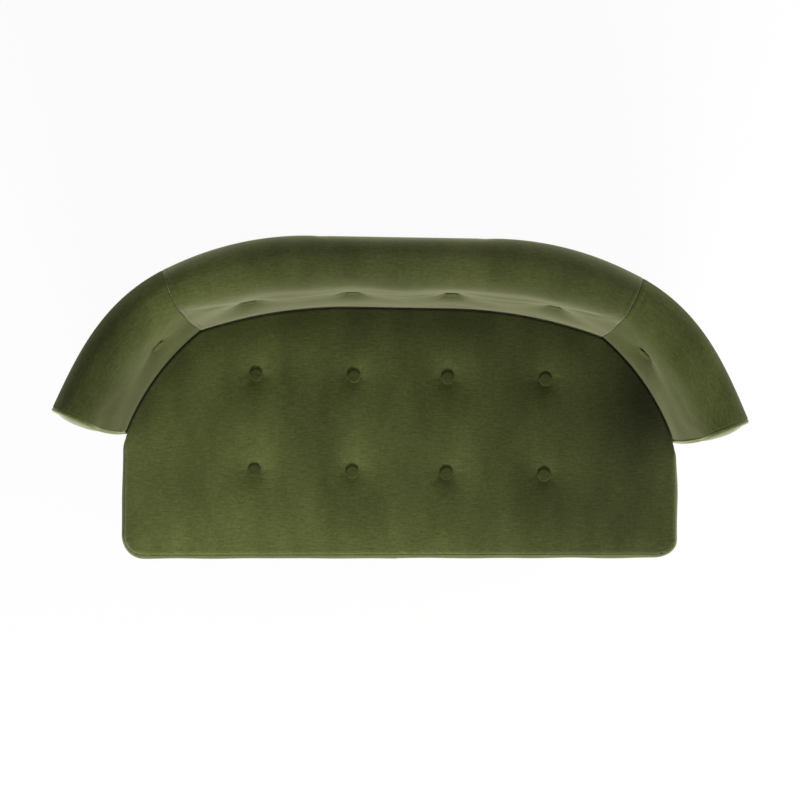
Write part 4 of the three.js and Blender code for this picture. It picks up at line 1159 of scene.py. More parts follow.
@dataclass
class FacingWelt:
    """The covered cord sewn in round an arm's facing."""

    side: Side
    radius: float = 0.0045
    lift: float = -0.0006
    step: float = 0.004
    sides: int = 14
    fineness: int = 90

    def build(self, material: bpy.types.Material) -> bpy.types.Object:
        """Builds the welt along the arm's outline."""
        end = PLAN.arm_end(self.side)
        outline = SECTION.arm_outline(float(end.reach[0]), self.fineness)
        inward = -left_of(outline)
        centre = outline + inward * self.radius
        runs = run_of(centre)
        where = np.linspace(0, runs[-1], round(runs[-1] / self.step))
        line, inward = (
            np.stack([np.interp(where, runs, values[:, k]) for k in (0, 1)], -1) for values in (centre, inward)
        )
        turn = np.linspace(0, 2 * np.pi, self.sides + 1)
        size = self.radius * (1 + 0.018 * waves(13 + self.side.value, where[:, None], 0.02))
        across = line[:, None, :] + inward[:, None, :] * (size[:, None] * np.cos(turn))[..., None]
        forward = self.lift + self.radius + size[:, None] * np.sin(turn)
        points = end.lay(across[..., 0], across[..., 1], forward)
        cloth = np.stack(np.broadcast_arrays(self.radius * turn, where[:, None]), -1)
        bm, _ = bent_grid(ARM_LIE.moved(points), cloth)
        close_tube(bm)
        return piece_of(bm, f"facing_welt_cord_{self.side.word}", material)


@dataclass
class OutsidePanel:
    """A stretched panel on the outside of the back or of an arm."""

    name: str
    start: float
    end: float
    wall: float = 0.004
    step: float = 0.008
    swell: float = 0.0012
    end_depth: float = 0.0028
    end_round: float = 0.004
    hem_depth: float = 0.0022
    hem: float = 0.003

    def build(self, material: bpy.types.Material) -> bpy.types.Object:
        """Builds the panel as a thin closed skin with rounded ends."""
        ends = PLAN.distance(np.array([self.start, self.end]))
        runs = paced(ends[0], ends[1], self.step, (0.0004, 0.001, 0.0018, 0.003, 0.005, 0.008))
        stations = PLAN.stations(PLAN.place(runs))
        s = SIZES
        z = paced(s.rail_foot, s.lip_level - 0.0003, self.step, (0.0005, 0.0012, 0.0022, 0.004, 0.007))
        u = SECTION.outside(stations.reach[:, None], z[None, :])
        gone = np.minimum(runs - runs[0], runs[-1] - runs)
        inner = stations.at(u - self.wall, z)
        u = u - self.end_depth * rounding(gone, self.end_round)[:, None]
        u = u - self.hem_depth * rounding(z - z[0], self.hem)
        cloth = cloth_runs(stations.at(u, z))
        fade = smooth(gone, 0.0, 0.05)[:, None] * smooth(z, s.rail_foot, 0.25) * smooth(-z, -s.lip_level, -0.60)
        u = u - self.swell * (0.6 + 0.6 * waves(17, cloth, 0.22)) * fade
        bm = closed_skin(stations.at(u, z), inner, cloth, ARM_LIE.moved)
        return piece_of(bm, self.name, material)


@dataclass
class Apron:
    """The cloth over the seat rails, under the front and sides of the seat pad."""

    inset: float = 0.006
    wall: float = 0.005
    stop: float = 0.014
    top: float = 0.3334
    step: float = 0.006
    foot_depth: float = 0.0028
    top_depth: float = 0.0022
    edge_round: float = 0.005
    swell: float = 0.0009

    def _front_line(self) -> PlanLine:
        """The apron's face on the plan, from one arm round the front to the other."""
        end = (SIZES.seat_half - self.inset, PLAN.arm_foot[1] - self.stop)
        half = np.vstack([SEAT_LINE.corner_arc(self.inset), [end]])
        return PlanLine(np.vstack([(half * (-1, 1))[::-1], half]))

    def build(self, material: bpy.types.Material) -> bpy.types.Object:
        """Builds the apron as a thin closed skin, rolled in at its foot."""
        line = self._front_line()
        shares = np.linspace(0, 1, round(line.length / self.step) + 1)
        plan = line.at(shares)
        inward = left_of(plan)
        foot = SIZES.rail_foot
        z = paced(foot, self.top, 0.0085, (0.0004, 0.001, 0.002, 0.0034, 0.0052, 0.0075))
        rolled = self.foot_depth * rounding(z - foot, self.edge_round)
        rolled = rolled + self.top_depth * rounding(self.top - z, self.edge_round)
        run = shares * line.length
        cloth = np.stack(np.broadcast_arrays(run[:, None], z[None, :]), -1)
        fade = smooth(z, foot, foot + 0.03) * smooth(-z, -self.top, -self.top + 0.03)
        depth = rolled + self.swell * (0.5 + 0.5 * waves(23, cloth, 0.18)) * fade
        outer = plan[:, None, :] + inward[:, None, :] * depth[..., None]
        inner = plan[:, None, :] + inward[:, None, :] * np.full((1, len(z), 1), self.wall)
        levels = np.broadcast_to(z, depth.shape)
        bm = closed_skin(
            np.dstack([outer, levels]),
            np.dstack([inner, levels]),
            cloth,
            lambda points: FRONT_LIE.moved(points, smooth(points[..., 2], foot, self.top), 0.0),
        )
        return piece_of(bm, "apron_cover", material)


# Covered buttons


@dataclass
class Button:
    """A covered button, sunk in its tuft."""

    name: str
    centre: Vector
    axis: Vector
    radius: float = 0.0138
    height: float = 0.0064
    rim: float = 0.0028
    lift: float = 0.0008
    sides: int = 40

    def build(self, material: bpy.types.Material) -> bpy.types.Object:
        """Turns the button about its axis and seats it."""
        profile = [(0.0, 0.0), (self.radius - self.rim, 0.0)]
        profile += rim_points(self.radius, self.rim, np.linspace(-60, 62, 9), self.lift)
        edge = profile[-1]
        for share in np.linspace(0.12, 1, 9):
            radius = edge[0] * (1 - share)
            profile.append((radius, edge[1] + (self.height - edge[1]) * (1 - (1 - share) ** 3) ** 0.8))
        bm = turned([(r, max(z, 0.0)) for r, z in profile], self.sides)
        layer = bm.loops.layers.uv.new("cloth")
        for face in bm.faces:
            for loop in face.loops:
                place = loop.vert.co
                loop[layer].uv = (place.x + self.centre.x, place.y + self.centre.y + self.centre.z)
        turn = self.axis.to_track_quat("Z", "Y").to_matrix().to_4x4()
        bmesh.ops.transform(bm, matrix=Matrix.Translation(self.centre) @ turn, verts=bm.verts)
        return piece_of(bm, self.name, material)


# Legs and what holds them


@dataclass
class FrontLeg:
    """A turned front leg."""

    side: Side
    foot: float = 0.0043
    top: float = 0.2027
    sides: int = 64

    def _profile(self) -> list[tuple[float, float]]:
        """Radii and shares of the height, from the foot to the top."""
        return [
            (0.0118, 0.0), (0.0125, 0.004), (0.0125, 0.04), (0.0136, 0.12), (0.0158, 0.25), (0.0180, 0.37),
            (0.0206, 0.50), (0.0226, 0.59), (0.0230, 0.635), (0.0222, 0.668), (0.0196, 0.700), (0.0173, 0.722),
            (0.0170, 0.734), (0.0170, 0.742), (0.0222, 0.744), (0.0236, 0.752), (0.0240, 0.765), (0.0236, 0.778),
            (0.0222, 0.786), (0.0172, 0.788), (0.0170, 0.800), (0.0186, 0.815), (0.0228, 0.838), (0.0258, 0.862),
            (0.0276, 0.885), (0.0286, 0.900), (0.0290, 0.912), (0.0290, 0.996), (0.0286, 1.0),
        ]

    def build(self, material: bpy.types.Material) -> bpy.types.Object:
        """Turns the leg about its axis."""
        centre = foot_of(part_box(f"front_leg_{self.side.word}"))
        rise = self.top - self.foot
        points = [(radius, self.foot + rise * share) for radius, share in self._profile()]
        bm = turned([(0.0, self.foot), *points, (0.0, self.top)], self.sides)
        bmesh.ops.translate(bm, vec=(centre.x, centre.y, 0), verts=bm.verts)
        return piece_of(bm, f"turned_leg_{self.side.word}", material)


@dataclass
class RearLeg:
    """A square rear leg, tapered and raked outwards."""

    side: Side
    place: float = 0.86
    behind: float = 0.0186
    top_width: float = 0.046
    foot_width: float = 0.029
    rake: float = 0.034
    rake_power: float = 1.4
    foot: float = 0.0043
    top: float = 0.2027
    ease: float = 0.09
    cuts: int = 14

    @staticmethod
    def _upright(bm: bmesh.types.BMesh) -> list[bmesh.types.BMEdge]:
        """The edges that run from the foot of the block to its top."""
        return [e for e in bm.edges if abs(e.verts[0].co.z - e.verts[1].co.z) > 0.5]

    def build(self, material: bpy.types.Material) -> bpy.types.Object:
        """Stretches, tapers and rakes a block, with eased edges."""
        station = PLAN.stations(np.array([self.place * self.side.value]))
        top = station.at(np.array([[self.behind]]), 0.0)[0, 0]
        yaw = math.atan2(station.out[0, 1], self.side.value * station.out[0, 0])
        bm = bmesh.new()
        bmesh.ops.create_cube(bm, size=1.0)
        ease = {"offset": self.ease, "offset_type": "OFFSET", "affect": "EDGES"}
        bmesh.ops.bevel(bm, geom=self._upright(bm), segments=4, profile=0.5, material=-1, **ease)
        bmesh.ops.subdivide_edges(bm, edges=self._upright(bm), cuts=self.cuts, use_grid_fill=True)
        for vert in bm.verts:
            rise = vert.co.z + 0.5
            width = self.foot_width + (self.top_width - self.foot_width) * rise
            x = vert.co.x * width + self.rake * (1 - rise) ** self.rake_power
            vert.co = (x, vert.co.y * width, self.foot + (self.top - self.foot) * rise)
        level = [e for e in bm.edges if len({round(v.co.z, 5) for v in e.verts}) == 1]
        rims = [e for e in level if e.calc_face_angle(0) > 1.0]
        bmesh.ops.bevel(bm, geom=rims, offset=0.0008, affect="EDGES", segments=2, profile=0.5, material=-1)
        bmesh.ops.rotate(bm, cent=(0, 0, 0), matrix=Matrix.Rotation(yaw, 3, "Z"), verts=bm.verts)
        bmesh.ops.translate(bm, vec=(top[0], top[1], 0), verts=bm.verts)
        return piece_of(bm, f"raked_leg_{self.side.word}", material)


@dataclass
class Glide:
    """A moulded glide under a leg."""

    node: str
    radius: float = 0.0105
    height: float = 0.004
    rim: float = 0.0013
    inset: float = 0.0008
    sides: int = 40

    def build(self, material: bpy.types.Material) -> bpy.types.Object:
        """Turns the glide with a rounded rim, under its leg."""
        centre = foot_of(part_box(self.node))
        profile = [(0.0, 0.0), (self.radius - self.rim, 0.0)]
        profile += rim_points(self.radius, self.rim, (-60, -30, 0, 30, 60, 90))
        profile += [(self.radius - self.rim - self.inset, self.height), (0.0, self.height)]
        bm = turned(profile, self.sides)
        bmesh.ops.translate(bm, vec=(centre.x, centre.y, 0), verts=bm.verts)
        return piece_of(bm, f"{self.node}_moulding", material)


@dataclass
class SeamStitches:
    """The row of stitches beside the seam between the back and an arm."""

    side: Side
    beside: float = 0.0092
    pitch: float = 0.0052
    length: float = 0.0036
    thickness: float = 0.00045

    def build(self, material: bpy.types.Material) -> bpy.types.Object:
        """Lays one short stitch after another up the face and over the roll."""
        runs = PLAN.distance(np.array([1.0])) - self.beside
        station = PLAN.stations(self.side.value * PLAN.place(runs))
        u, z = SECTION.inner(station.reach, np.linspace(0.42, 3.6, 700))
        line = station.at(u, z)[0]
        facing = station.at(u - 0.01, z)[0] - line
        facing /= np.linalg.norm(facing, axis=1, keepdims=True)
        gone = run_of(line)
        bm = bmesh.new()
        for start in np.arange(0.0, gone[-1] - self.pitch, self.pitch):
            runs = (start, start + self.length)
            ends = [Vector([np.interp(run, gone, line[:, k]) for k in range(3)]) for run in runs]
            along = ends[1] - ends[0]
            made = bmesh.ops.create_uvsphere(bm, u_segments=6, v_segments=5, radius=self.thickness)["verts"]
            bmesh.ops.scale(bm, verts=made, vec=(1, 1, self.length / self.thickness / 2))
            turn = along.to_track_quat("Z", "Y").to_matrix().to_4x4()
            bmesh.ops.transform(bm, matrix=Matrix.Translation((ends[0] + ends[1]) / 2) @ turn, verts=made)
        return piece_of(bm, f"seam_stitches_{self.side.word}", material)


@dataclass
class Strap:
    """A strap of the seat's webbing, over and under the straps that it crosses."""

    name: str
    start: tuple[float, float]
    end: tuple[float, float]
    crossings: tuple[float, ...]
    first_over: bool
    width: float = 0.052
    thickness: float = 0.0009
    rise: float = 0.0005
    level: float = 0.3327

    def build(self, material: bpy.types.Material) -> bpy.types.Object:
        """Lays the strap between its ends, its crossings at distances from its start."""
        start, end = np.array(self.start), np.array(self.end)
        length = float(np.linalg.norm(end - start))
        along = (end - start) / length
        run = np.linspace(0, length, round(length / 0.006) + 1)
        lift = np.zeros(len(run))
        for index, crossing in enumerate(self.crossings):
            sign = 1 if (index % 2 == 0) == self.first_over else -1
            lift += sign * self.rise * smooth(-np.abs(run - crossing), -0.075, -0.027)
        across = np.linspace(-self.width / 2, self.width / 2, 9)
        plan = start + along * run[:, None, None] + np.array([-along[1], along[0]]) * across[:, None]
        middle = np.broadcast_to(self.level + lift[:, None], plan.shape[:2])
        top, low = (np.dstack([plan, middle + side * self.thickness / 2]) for side in (1, -1))
        return piece_of(closed_skin(top, low), self.name, material)


@dataclass(frozen=True)
class Webbing:
    """Where the straps of the seat run."""

    front: float = -0.3157
    hold: float = 0.018
    spacing: float = 0.147846
    rows: tuple[tuple[float, float], ...] = ((-0.184, 0.5827), (-0.019, 0.604))
    either_side: int = 3
    fineness: int = 400

    def straps(self) -> list[Strap]:
        """The straps from the front rail to the bent one, then those from side to side."""
        line = PLAN.stations(np.linspace(0, 2, self.fineness))
        rail = line.at(np.full((self.fineness, 1), self.hold), 0.0)[:, 0, :2]
        order = range(-self.either_side, self.either_side + 1)
        straps = []
        for number, index in enumerate(order, 1):
            x = index * self.spacing
            back = float(np.interp(abs(x), rail[:, 0], rail[:, 1]))
            crossings = tuple(row - self.front for row, _ in self.rows)
            straps.append(Strap(f"seat_strap_{number}", (x, self.front), (x, back), crossings, index % 2 == 0))
        for number, (row, half) in enumerate(self.rows, 1):
            crossings = tuple(half + place * self.spacing for place in order)
            straps.append(Strap(f"cross_strap_{number}", (-half, row), (half, row), crossings, number == 1))
        return straps


@dataclass
class DustCover:
    """The cambric stretched under the frame, cut round the legs and sagging a little."""

    step: float = 0.008
    thickness: float = 0.0007
    level: float = 0.2023
    sag: float = 0.0045
    wrinkle: float = 0.0005
    margin: float = 0.009
    rear_margin: float = 0.004
    side_stop: float = 0.014
    round_cut: float = 0.0297
    square_cut: float = 0.0234

    def _outline(self) -> np.ndarray:
        """The cover's edge on the plan, a closed line."""
        back = PLAN.stations(np.linspace(2, 0, 120))
        edge = back.at(back.reach[:, None] * SECTION.base_share - self.rear_margin, 0.0)[:, 0, :2]
        side = (SIZES.seat_half - self.margin, PLAN.arm_foot[1] - self.side_stop)
        shares = np.linspace(0, 0.6, 160)
        front = SEAT_LINE.ring(shares, np.full(len(shares), self.margin))
        front = front[front[:, 1] < side[1]]
        half = np.vstack([front, side, PLAN.arm_foot, edge])
        return np.vstack([half, (half * (-1, 1))[::-1]])

    def _holes(self) -> list[np.ndarray]:
        """The edges of the cuts round the legs."""
        holes = []
        turn = np.linspace(0, 2 * np.pi, 41)
        for side in Side:
            centre = np.array(foot_of(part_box(f"front_leg_{side.word}"))[:2])
            holes.append(centre + self.round_cut * np.stack([np.cos(turn), np.sin(turn)], -1))
            station = PLAN.stations(np.array([RearLeg.place * side.value]))
            out = station.out[0] * (side.value, 1)
            centre = station.at(np.array([[RearLeg.behind]]), 0.0)[0, 0, :2]
            across = np.array([-out[1], out[0]])
            corners = ((-1, -1), (1, -1), (1, 1), (-1, 1), (-1, -1))
            holes.append(np.array([centre + self.square_cut * (a * out + b * across) for a, b in corners]))
        return holes

    @staticmethod
    def _within(line: np.ndarray, points: np.ndarray) -> np.ndarray:
        """Whether each point lies inside a closed line."""
        inside = np.zeros(points.shape[:-1], bool)
        x, y = points[..., 0], points[..., 1]
        for (ax, ay), (bx, by) in zip(line, np.roll(line, -1, axis=0)):
            if ay != by:
                inside ^= ((ay > y) != (by > y)) & (x < (bx - ax) * (y - ay) / (by - ay) + ax)
        return inside

    @staticmethod
    def _nearest(line: np.ndarray, point: np.ndarray) -> np.ndarray:
        """The point of a closed line nearest to a point."""
        a, b = line, np.roll(line, -1, axis=0)
        along = b - a
        length = np.maximum((along * along).sum(1), 1e-12)
        foot = a + np.clip(((point - a) * along).sum(1) / length, 0, 1)[:, None] * along
        return foot[np.argmin(np.linalg.norm(foot - point, axis=1))]

    def build(self, material: bpy.types.Material) -> tuple[bpy.types.Object, tuple[float, float], float]:
        """Cuts the cover from a grid.

        Args:
            material: Its finish.

        Returns:
            The cover, the size of the rectangle it is cut from, and its own area.
        """
        outline, holes = self._outline(), self._holes()
        low, high = outline.min(0), outline.max(0)
        counts = [round((high[k] - low[k]) / self.step) + 1 for k in (0, 1)]
        xs, ys = (np.linspace(low[k], high[k], counts[k]) for k in (0, 1))
        plan = np.stack(np.meshgrid(xs, ys, indexing="ij"), -1)
        bm, _ = bent_grid(np.dstack([plan, np.zeros(plan.shape[:2])]), plan)
        centres = np.array([face.calc_center_median()[:2] for face in bm.faces])
        kept = self._within(outline, centres)
        for hole in holes:
            kept &= ~self._within(hole, centres)
        gone = [face for face, keep in zip(bm.faces, kept) if not keep]
        bmesh.ops.delete(bm, geom=gone, context="FACES")
        lines = [outline, *holes]
        for vert in bm.verts:
            if vert.is_boundary:
                point = np.array(vert.co[:2])
                feet = [self._nearest(line, point) for line in lines]
                vert.co[:2] = min(feet, key=lambda foot: np.linalg.norm(foot - point))
        area = sum(face.calc_area() for face in bm.faces)
        points = np.array([vert.co[:2] for vert in bm.verts])
        inside = distance_to(np.vstack([outline, outline[:1]]), points)
        drop = self.sag * smooth(inside, 0.04, 0.24)
        drop = drop + self.wrinkle * waves(29, points, 0.12) * smooth(inside, 0.035, 0.1)
        for vert, fall in zip(bm.verts, drop):
            vert.co.z = self.level - fall
        piece = piece_of(bm, "dust_cover_cambric", material)
        skin = piece.modifiers.new("thickness", "SOLIDIFY")
        skin.thickness, skin.offset = self.thickness, 0.0
        return piece, tuple(float(size) for size in high - low), float(area)


@dataclass
class DustCoverStaples:
    """Staples that hold the dust cover under the rails."""

    pitch: float = 0.042
    width: float = 0.010
    wire: float = 0.0006
    start: float = 0.012
    inset: float = 0.034

    def build(self, material: bpy.types.Material) -> bpy.types.Object:
        """Sets staples along the front and sides of the dust cover."""
        bm = bmesh.new()
        level = foot_of(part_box("dust_cover")).z
        line = SEAT_LINE.ring(SEAT_LINE.shares(0.004), self.inset)
        line = np.vstack([(line * (-1, 1))[::-1], line[1:]])
        gone = run_of(line)
        for run in np.arange(self.start, gone[-1] - self.start, self.pitch):
            here, there = ([np.interp(run + d, gone, line[:, k]) for k in (0, 1)] for d in (0, 0.002))
            yaw = math.atan2(there[1] - here[1], there[0] - here[0])
            made = bmesh.ops.create_cube(bm, size=1.0)["verts"]
            bmesh.ops.scale(bm, verts=made, vec=(self.width, self.wire * 1.6, self.wire))
            bmesh.ops.rotate(bm, verts=made, cent=(0, 0, 0), matrix=Matrix.Rotation(yaw, 3, "Z"))
            bmesh.ops.translate(bm, verts=made, vec=(here[0], here[1], level - self.wire * 0.3))
        edges = [e for e in bm.edges if e.calc_length() > self.width * 0.9]
        bmesh.ops.bevel(
            bm, geom=edges, offset=self.wire * 0.3, affect="EDGES", segments=2, profile=0.5, material=-1
        )
        return piece_of(bm, "dust_cover_staples", material)


# Finishes


class Grid:
    """Adds nodes to a material or a node group, and links them."""

    def __init__(self, tree: bpy.types.NodeTree) -> None:
        """Starts on a node tree, which may be empty."""
        self.tree = tree
        self.column = 0

    def add(self, kind: str, values: dict | None = None, **settings: object) -> bpy.types.Node:
        """Adds a node.

        Args:
            kind: Its type, as Blender names it without the ShaderNode prefix.
            values: Its inputs by name or number: a constant, or an output to link.
            settings: Its own properties.

        Returns:
            The node.
        """
        node = self.tree.nodes.new(kind if kind.startswith("Node") else f"ShaderNode{kind}")
        self.column += 1
        node.location = (self.column % 9 * 190, -(self.column // 9) * 260)
        for key, value in settings.items():
            setattr(node, key, value)
        return self.feed(node, values or {})

    def feed(self, node: bpy.types.Node, values: dict) -> bpy.types.Node:
        """Gives a node inputs by name or number, each a constant or an output to link."""
        for key, value in values.items():
            if isinstance(value, bpy.types.NodeSocket):
                self.tree.links.new(value, node.inputs[key])
            else:
                node.inputs[key].default_value = value
        return node

    def group(self, tree: bpy.types.NodeTree, values: dict) -> object:
        """Adds a shared effect and gives its outputs."""
        return self.add("Group", values, node_tree=tree).outputs

    def grey(self, tone: bpy.types.NodeSocket) -> bpy.types.NodeSocket:
        """The same value three times, to multiply a colour by."""
        return self.add("CombineXYZ", {0: tone, 1: tone, 2: tone}).outputs[0]

    def surface(
        self, shader: bpy.types.Node, colour: object, rough: object, height: object, strength: float, depth: float
    ) -> None:
        """Gives a shader its colour and roughness, and a bump of a strength and depth."""
        bump = self.add("Bump", {"Height": height, "Strength": strength, "Distance": depth})
        self.feed(shader, {"Base Color": colour, "Roughness": rough, "Normal": bump.outputs[0]})

    def math(self, operation: str, *values: object) -> bpy.types.NodeSocket:
        """Adds a Math node and gives its output."""
        return self.add("Math", dict(enumerate(values)), operation=operation).outputs[0]

    def vector(self, operation: str, *values: object) -> bpy.types.NodeSocket:
        """Adds a Vector Math node and gives its output."""
        return self.add("VectorMath", dict(enumerate(values)), operation=operation).outputs[0]

    def noise(
        self, place: bpy.types.NodeSocket, scale: float, detail: float = 2.0, roughness: float = 0.5
    ) -> object:
        """Adds a Noise node and gives its value."""
        values = {"Vector": place, "Scale": scale, "Detail": detail, "Roughness": roughness}
        return self.add("TexNoise", values).outputs["Fac"]

    def between(
        self, value: object, low: float, high: float, to_low: float, to_high: float
    ) -> bpy.types.NodeSocket:
        """Maps a range of values smoothly onto another."""
        values = {"Value": value, "From Min": low, "From Max": high, "To Min": to_low, "To Max": to_high}
        return self.add("MapRange", values, interpolation_type="SMOOTHSTEP").outputs["Result"]

    def blend(self, factor: object, first: object, second: object, mode: str = "MIX") -> bpy.types.NodeSocket:
        """Mixes two colours and gives the result."""
        values = {0: factor, 6: first, 7: second}
        return self.add("Mix", values, data_type="RGBA", blend_type=mode, clamp_factor=True).outputs[2]


class Effects:
    """The shared effects: pile, nap, grain, weave and wear, each built once."""

    @staticmethod
    def _group(
        name: str, inputs: Sequence[tuple[str, str, object]], outputs: Sequence[tuple[str, str]]
    ) -> tuple[Grid, object, bpy.types.Node]:
        """Starts a node group with named sockets.

        Args:
            name: The group's name.
            inputs: Name, type and default of each input.
            outputs: Name and type of each output.

        Returns:
            The grid to build on, what the group is given, and its output node.
        """
        tree = bpy.data.node_groups.new(name, "ShaderNodeTree")
        for label, kind, default in inputs:
            socket = tree.interface.new_socket(label, in_out="INPUT", socket_type=f"NodeSocket{kind}")
            if default is not None:
                socket.default_value = default
        for label, kind in outputs:
            tree.interface.new_socket(label, in_out="OUTPUT", socket_type=f"NodeSocket{kind}")
        grid = Grid(tree)
        return grid, grid.add("NodeGroupInput").outputs, grid.add("NodeGroupOutput")

    @cached_property
    def pile(self) -> bpy.types.NodeTree:
        """Velvet's pile: patches where the nap lies another way, streaks and fine tufts."""
        grid, out, result = self._group(
            "velvet_pile",
            [
                ("Place", "Vector", None), ("Cloth", "Vector", None),
                ("Colour", "Color", (0.06, 0.07, 0.02, 1)), ("Patches", "Float", 0.20),
                ("Mottle", "Float", 0.2), ("Streaks", "Float", 0.24), ("Tufts", "Float", 0.36),
            ],
            [("Color", "Color"), ("Height", "Float"), ("Sheen mask", "Float")],
        )
        shade: object = 1.0
        wide = grid.vector("MULTIPLY", out["Place"], (1.0, 0.42, 0.6))
        layers = (
            (grid.noise(wide, 15.0, 2.0), "Patches"),
            (grid.noise(out["Cloth"], 150.0, 3.0, 0.6), "Mottle"),
            (grid.noise(grid.vector("MULTIPLY", out["Cloth"], (0.12, 1.0, 1.0)), 380.0, 2.0, 0.6), "Streaks"),
            (grid.noise(out["Cloth"], 620.0, 3.0, 0.7), "Tufts"),
        )
        for value, strength in layers:
            swing = grid.math("MULTIPLY", grid.math("SUBTRACT", value, 0.5), out[strength])
            shade = grid.math("MULTIPLY", shade, grid.math("MULTIPLY_ADD", swing, 4.0, 1.0))
        tone = grid.add("CombineXYZ", {0: shade, 1: shade, 2: grid.math("POWER", shade, 1.15)}).outputs[0]
        colour = grid.vector("MULTIPLY", out["Colour"], tone)
        fine = grid.math("ADD", layers[3][0], grid.math("MULTIPLY", layers[2][0], 0.6))
        mask = grid.between(shade, 0.7, 1.35, 0.0, 1.0)
        grid.feed(result, {"Color": colour, "Height": fine, "Sheen mask": mask})
        return grid.tree

    @cached_property
    def nap(self) -> bpy.types.NodeTree:
        """The lean of a pile, which turns the way light falls on it."""
        grid, out, result = self._group(
            "nap_lean", [("Normal", "Vector", None), ("Lean", "Vector", None)], [("Normal", "Vector")]
        )
        leaning = grid.vector("NORMALIZE", grid.vector("ADD", out["Normal"], out["Lean"]))
        grid.feed(result, {"Normal": leaning})
        return grid.tree

    @cached_property
    def grain(self) -> bpy.types.NodeTree:
        """Wood grain: long rings, pores and slow changes of tone."""
        grid, out, result = self._group(
            "wood_grain",
            [
                ("Place", "Vector", None), ("Early wood", "Color", (0.5, 0.36, 0.2, 1)),
                ("Late wood", "Color", (0.36, 0.24, 0.12, 1)), ("Rings", "Float", 55.0), ("Pores", "Float", 0.5),
            ],
            [("Color", "Color"), ("Height", "Float"), ("Roughness", "Float")],
        )
        cloud = grid.add("TexNoise", {"Vector": out["Place"], "Scale": 4.0}).outputs["Color"]
        bent = grid.vector("ADD", out["Place"], grid.vector("MULTIPLY", cloud, (0.05, 0.05, 0.05)))
        values = {"Vector": bent, "Scale": out["Rings"], "Distortion": 3.0, "Detail": 3.0, "Detail Scale": 1.2}
        rings = grid.add("TexWave", values, wave_type="RINGS", rings_direction="Z").outputs["Fac"]
        pores = grid.noise(bent, 900.0, 3.0, 0.6)
        slow = grid.noise(out["Place"], 9.0, 2.0)
        colour = grid.blend(grid.between(rings, 0.2, 0.9, 0.0, 0.8), out["Early wood"], out["Late wood"])
        dark = grid.math("MULTIPLY", grid.between(pores, 0.5, 0.68, 0.0, 1.0), out["Pores"])
        colour = grid.blend(dark, colour, out["Late wood"], "MULTIPLY")
        tone = grid.math("MULTIPLY_ADD", slow, 0.5, 0.75)
        height = grid.math("ADD", grid.math("MULTIPLY", dark, -0.6), rings)
        rough = grid.math("MULTIPLY_ADD", dark, 0.25, grid.math("MULTIPLY", rings, 0.08))
        colour = grid.vector("MULTIPLY", colour, grid.grey(tone))
        grid.feed(result, {"Color": colour, "Height": height, "Roughness": rough})
        return grid.tree

    @cached_property
    def weave(self) -> bpy.types.NodeTree:
        """A plain weave: threads over and under each other."""
        grid, out, result = self._group(
            "plain_weave",
            [("Place", "Vector", None), ("Threads", "Float", 400.0), ("Unevenness", "Float", 0.3)],
            [("Height", "Float"), ("Gap", "Float")],
        )
        jitter = grid.math("MULTIPLY", grid.noise(out["Place"], 60.0, 2.0), out["Unevenness"])
        split = grid.add("SeparateXYZ", {0: out["Place"]}).outputs
        turns = [grid.math("MULTIPLY_ADD", split[k], out["Threads"], jitter) for k in (0, 1)]
        sines = [grid.math("SINE", grid.math("MULTIPLY", turn, math.pi)) for turn in turns]
        warp, weft = (grid.math("ABSOLUTE", sine) for sine in sines)
        over = grid.math("MODULO", grid.math("ADD", *(grid.math("FLOOR", t) for t in turns)), 2.0)
        up = grid.math("ABSOLUTE", over)
        under = grid.math("MULTIPLY", weft, grid.math("SUBTRACT", 1.0, up))
        height = grid.math("ADD", grid.math("MULTIPLY", warp, up), under)
        gap = grid.between(grid.math("MAXIMUM", warp, weft), 0.25, 0.5, 1.0, 0.0)
        grid.feed(result, {"Height": height, "Gap": gap})
        return grid.tree

    @cached_property
    def wear(self) -> bpy.types.NodeTree:
        """Wear on raised edges, and fine scuffs."""
        grid, out, result = self._group(
            "edge_wear",
            [("Place", "Vector", None), ("Pointiness", "Float", 0.5), ("Scale", "Float", 60.0)],
            [("Wear", "Float"), ("Scuffs", "Float")],
        )
        values = {"Vector": out["Place"], "Scale": out["Scale"], "Detail": 4.0}
        patches = grid.add("TexNoise", values).outputs["Fac"]
        edge = grid.between(out["Pointiness"], 0.51, 0.56, 0.0, 1.0)
        worn = grid.math("MULTIPLY", edge, grid.between(patches, 0.4, 0.65, 0.0, 1.0))
        scratch = grid.noise(grid.vector("MULTIPLY", out["Place"], (1.0, 1.0, 0.08)), 700.0, 3.0, 0.6)
        grid.feed(result, {"Wear": worn, "Scuffs": grid.between(scratch, 0.6, 0.75, 0.0, 1.0)})
        return grid.tree


EFFECTS = Effects()


def emptied(holder: bpy.types.Material | bpy.types.World) -> Grid:
    """Empties the nodes of a material or a world, and starts on them."""
    holder.use_nodes = True
    holder.node_tree.nodes.clear()
    return Grid(holder.node_tree)


def wear_on(grid: Grid, place: bpy.types.NodeSocket) -> object:
    """The wear and the scuffs of a finish, as a group's outputs."""
    pointiness = grid.add("NewGeometry").outputs["Pointiness"]
    return grid.group(EFFECTS.wear, {"Place": place, "Pointiness": pointiness})


def started(name: str) -> tuple[Grid, bpy.types.Node, bpy.types.Material]:
    """Starts a material with its shader and output.

    Args:
        name: The material's name.

    Returns:
        The grid to build on, the shader and the material.
    """
    material = bpy.data.materials.new(name)
    grid = emptied(material)
    shader = grid.add("BsdfPrincipled")
    grid.add("OutputMaterial", {"Surface": shader.outputs[0]})
    return grid, shader, material


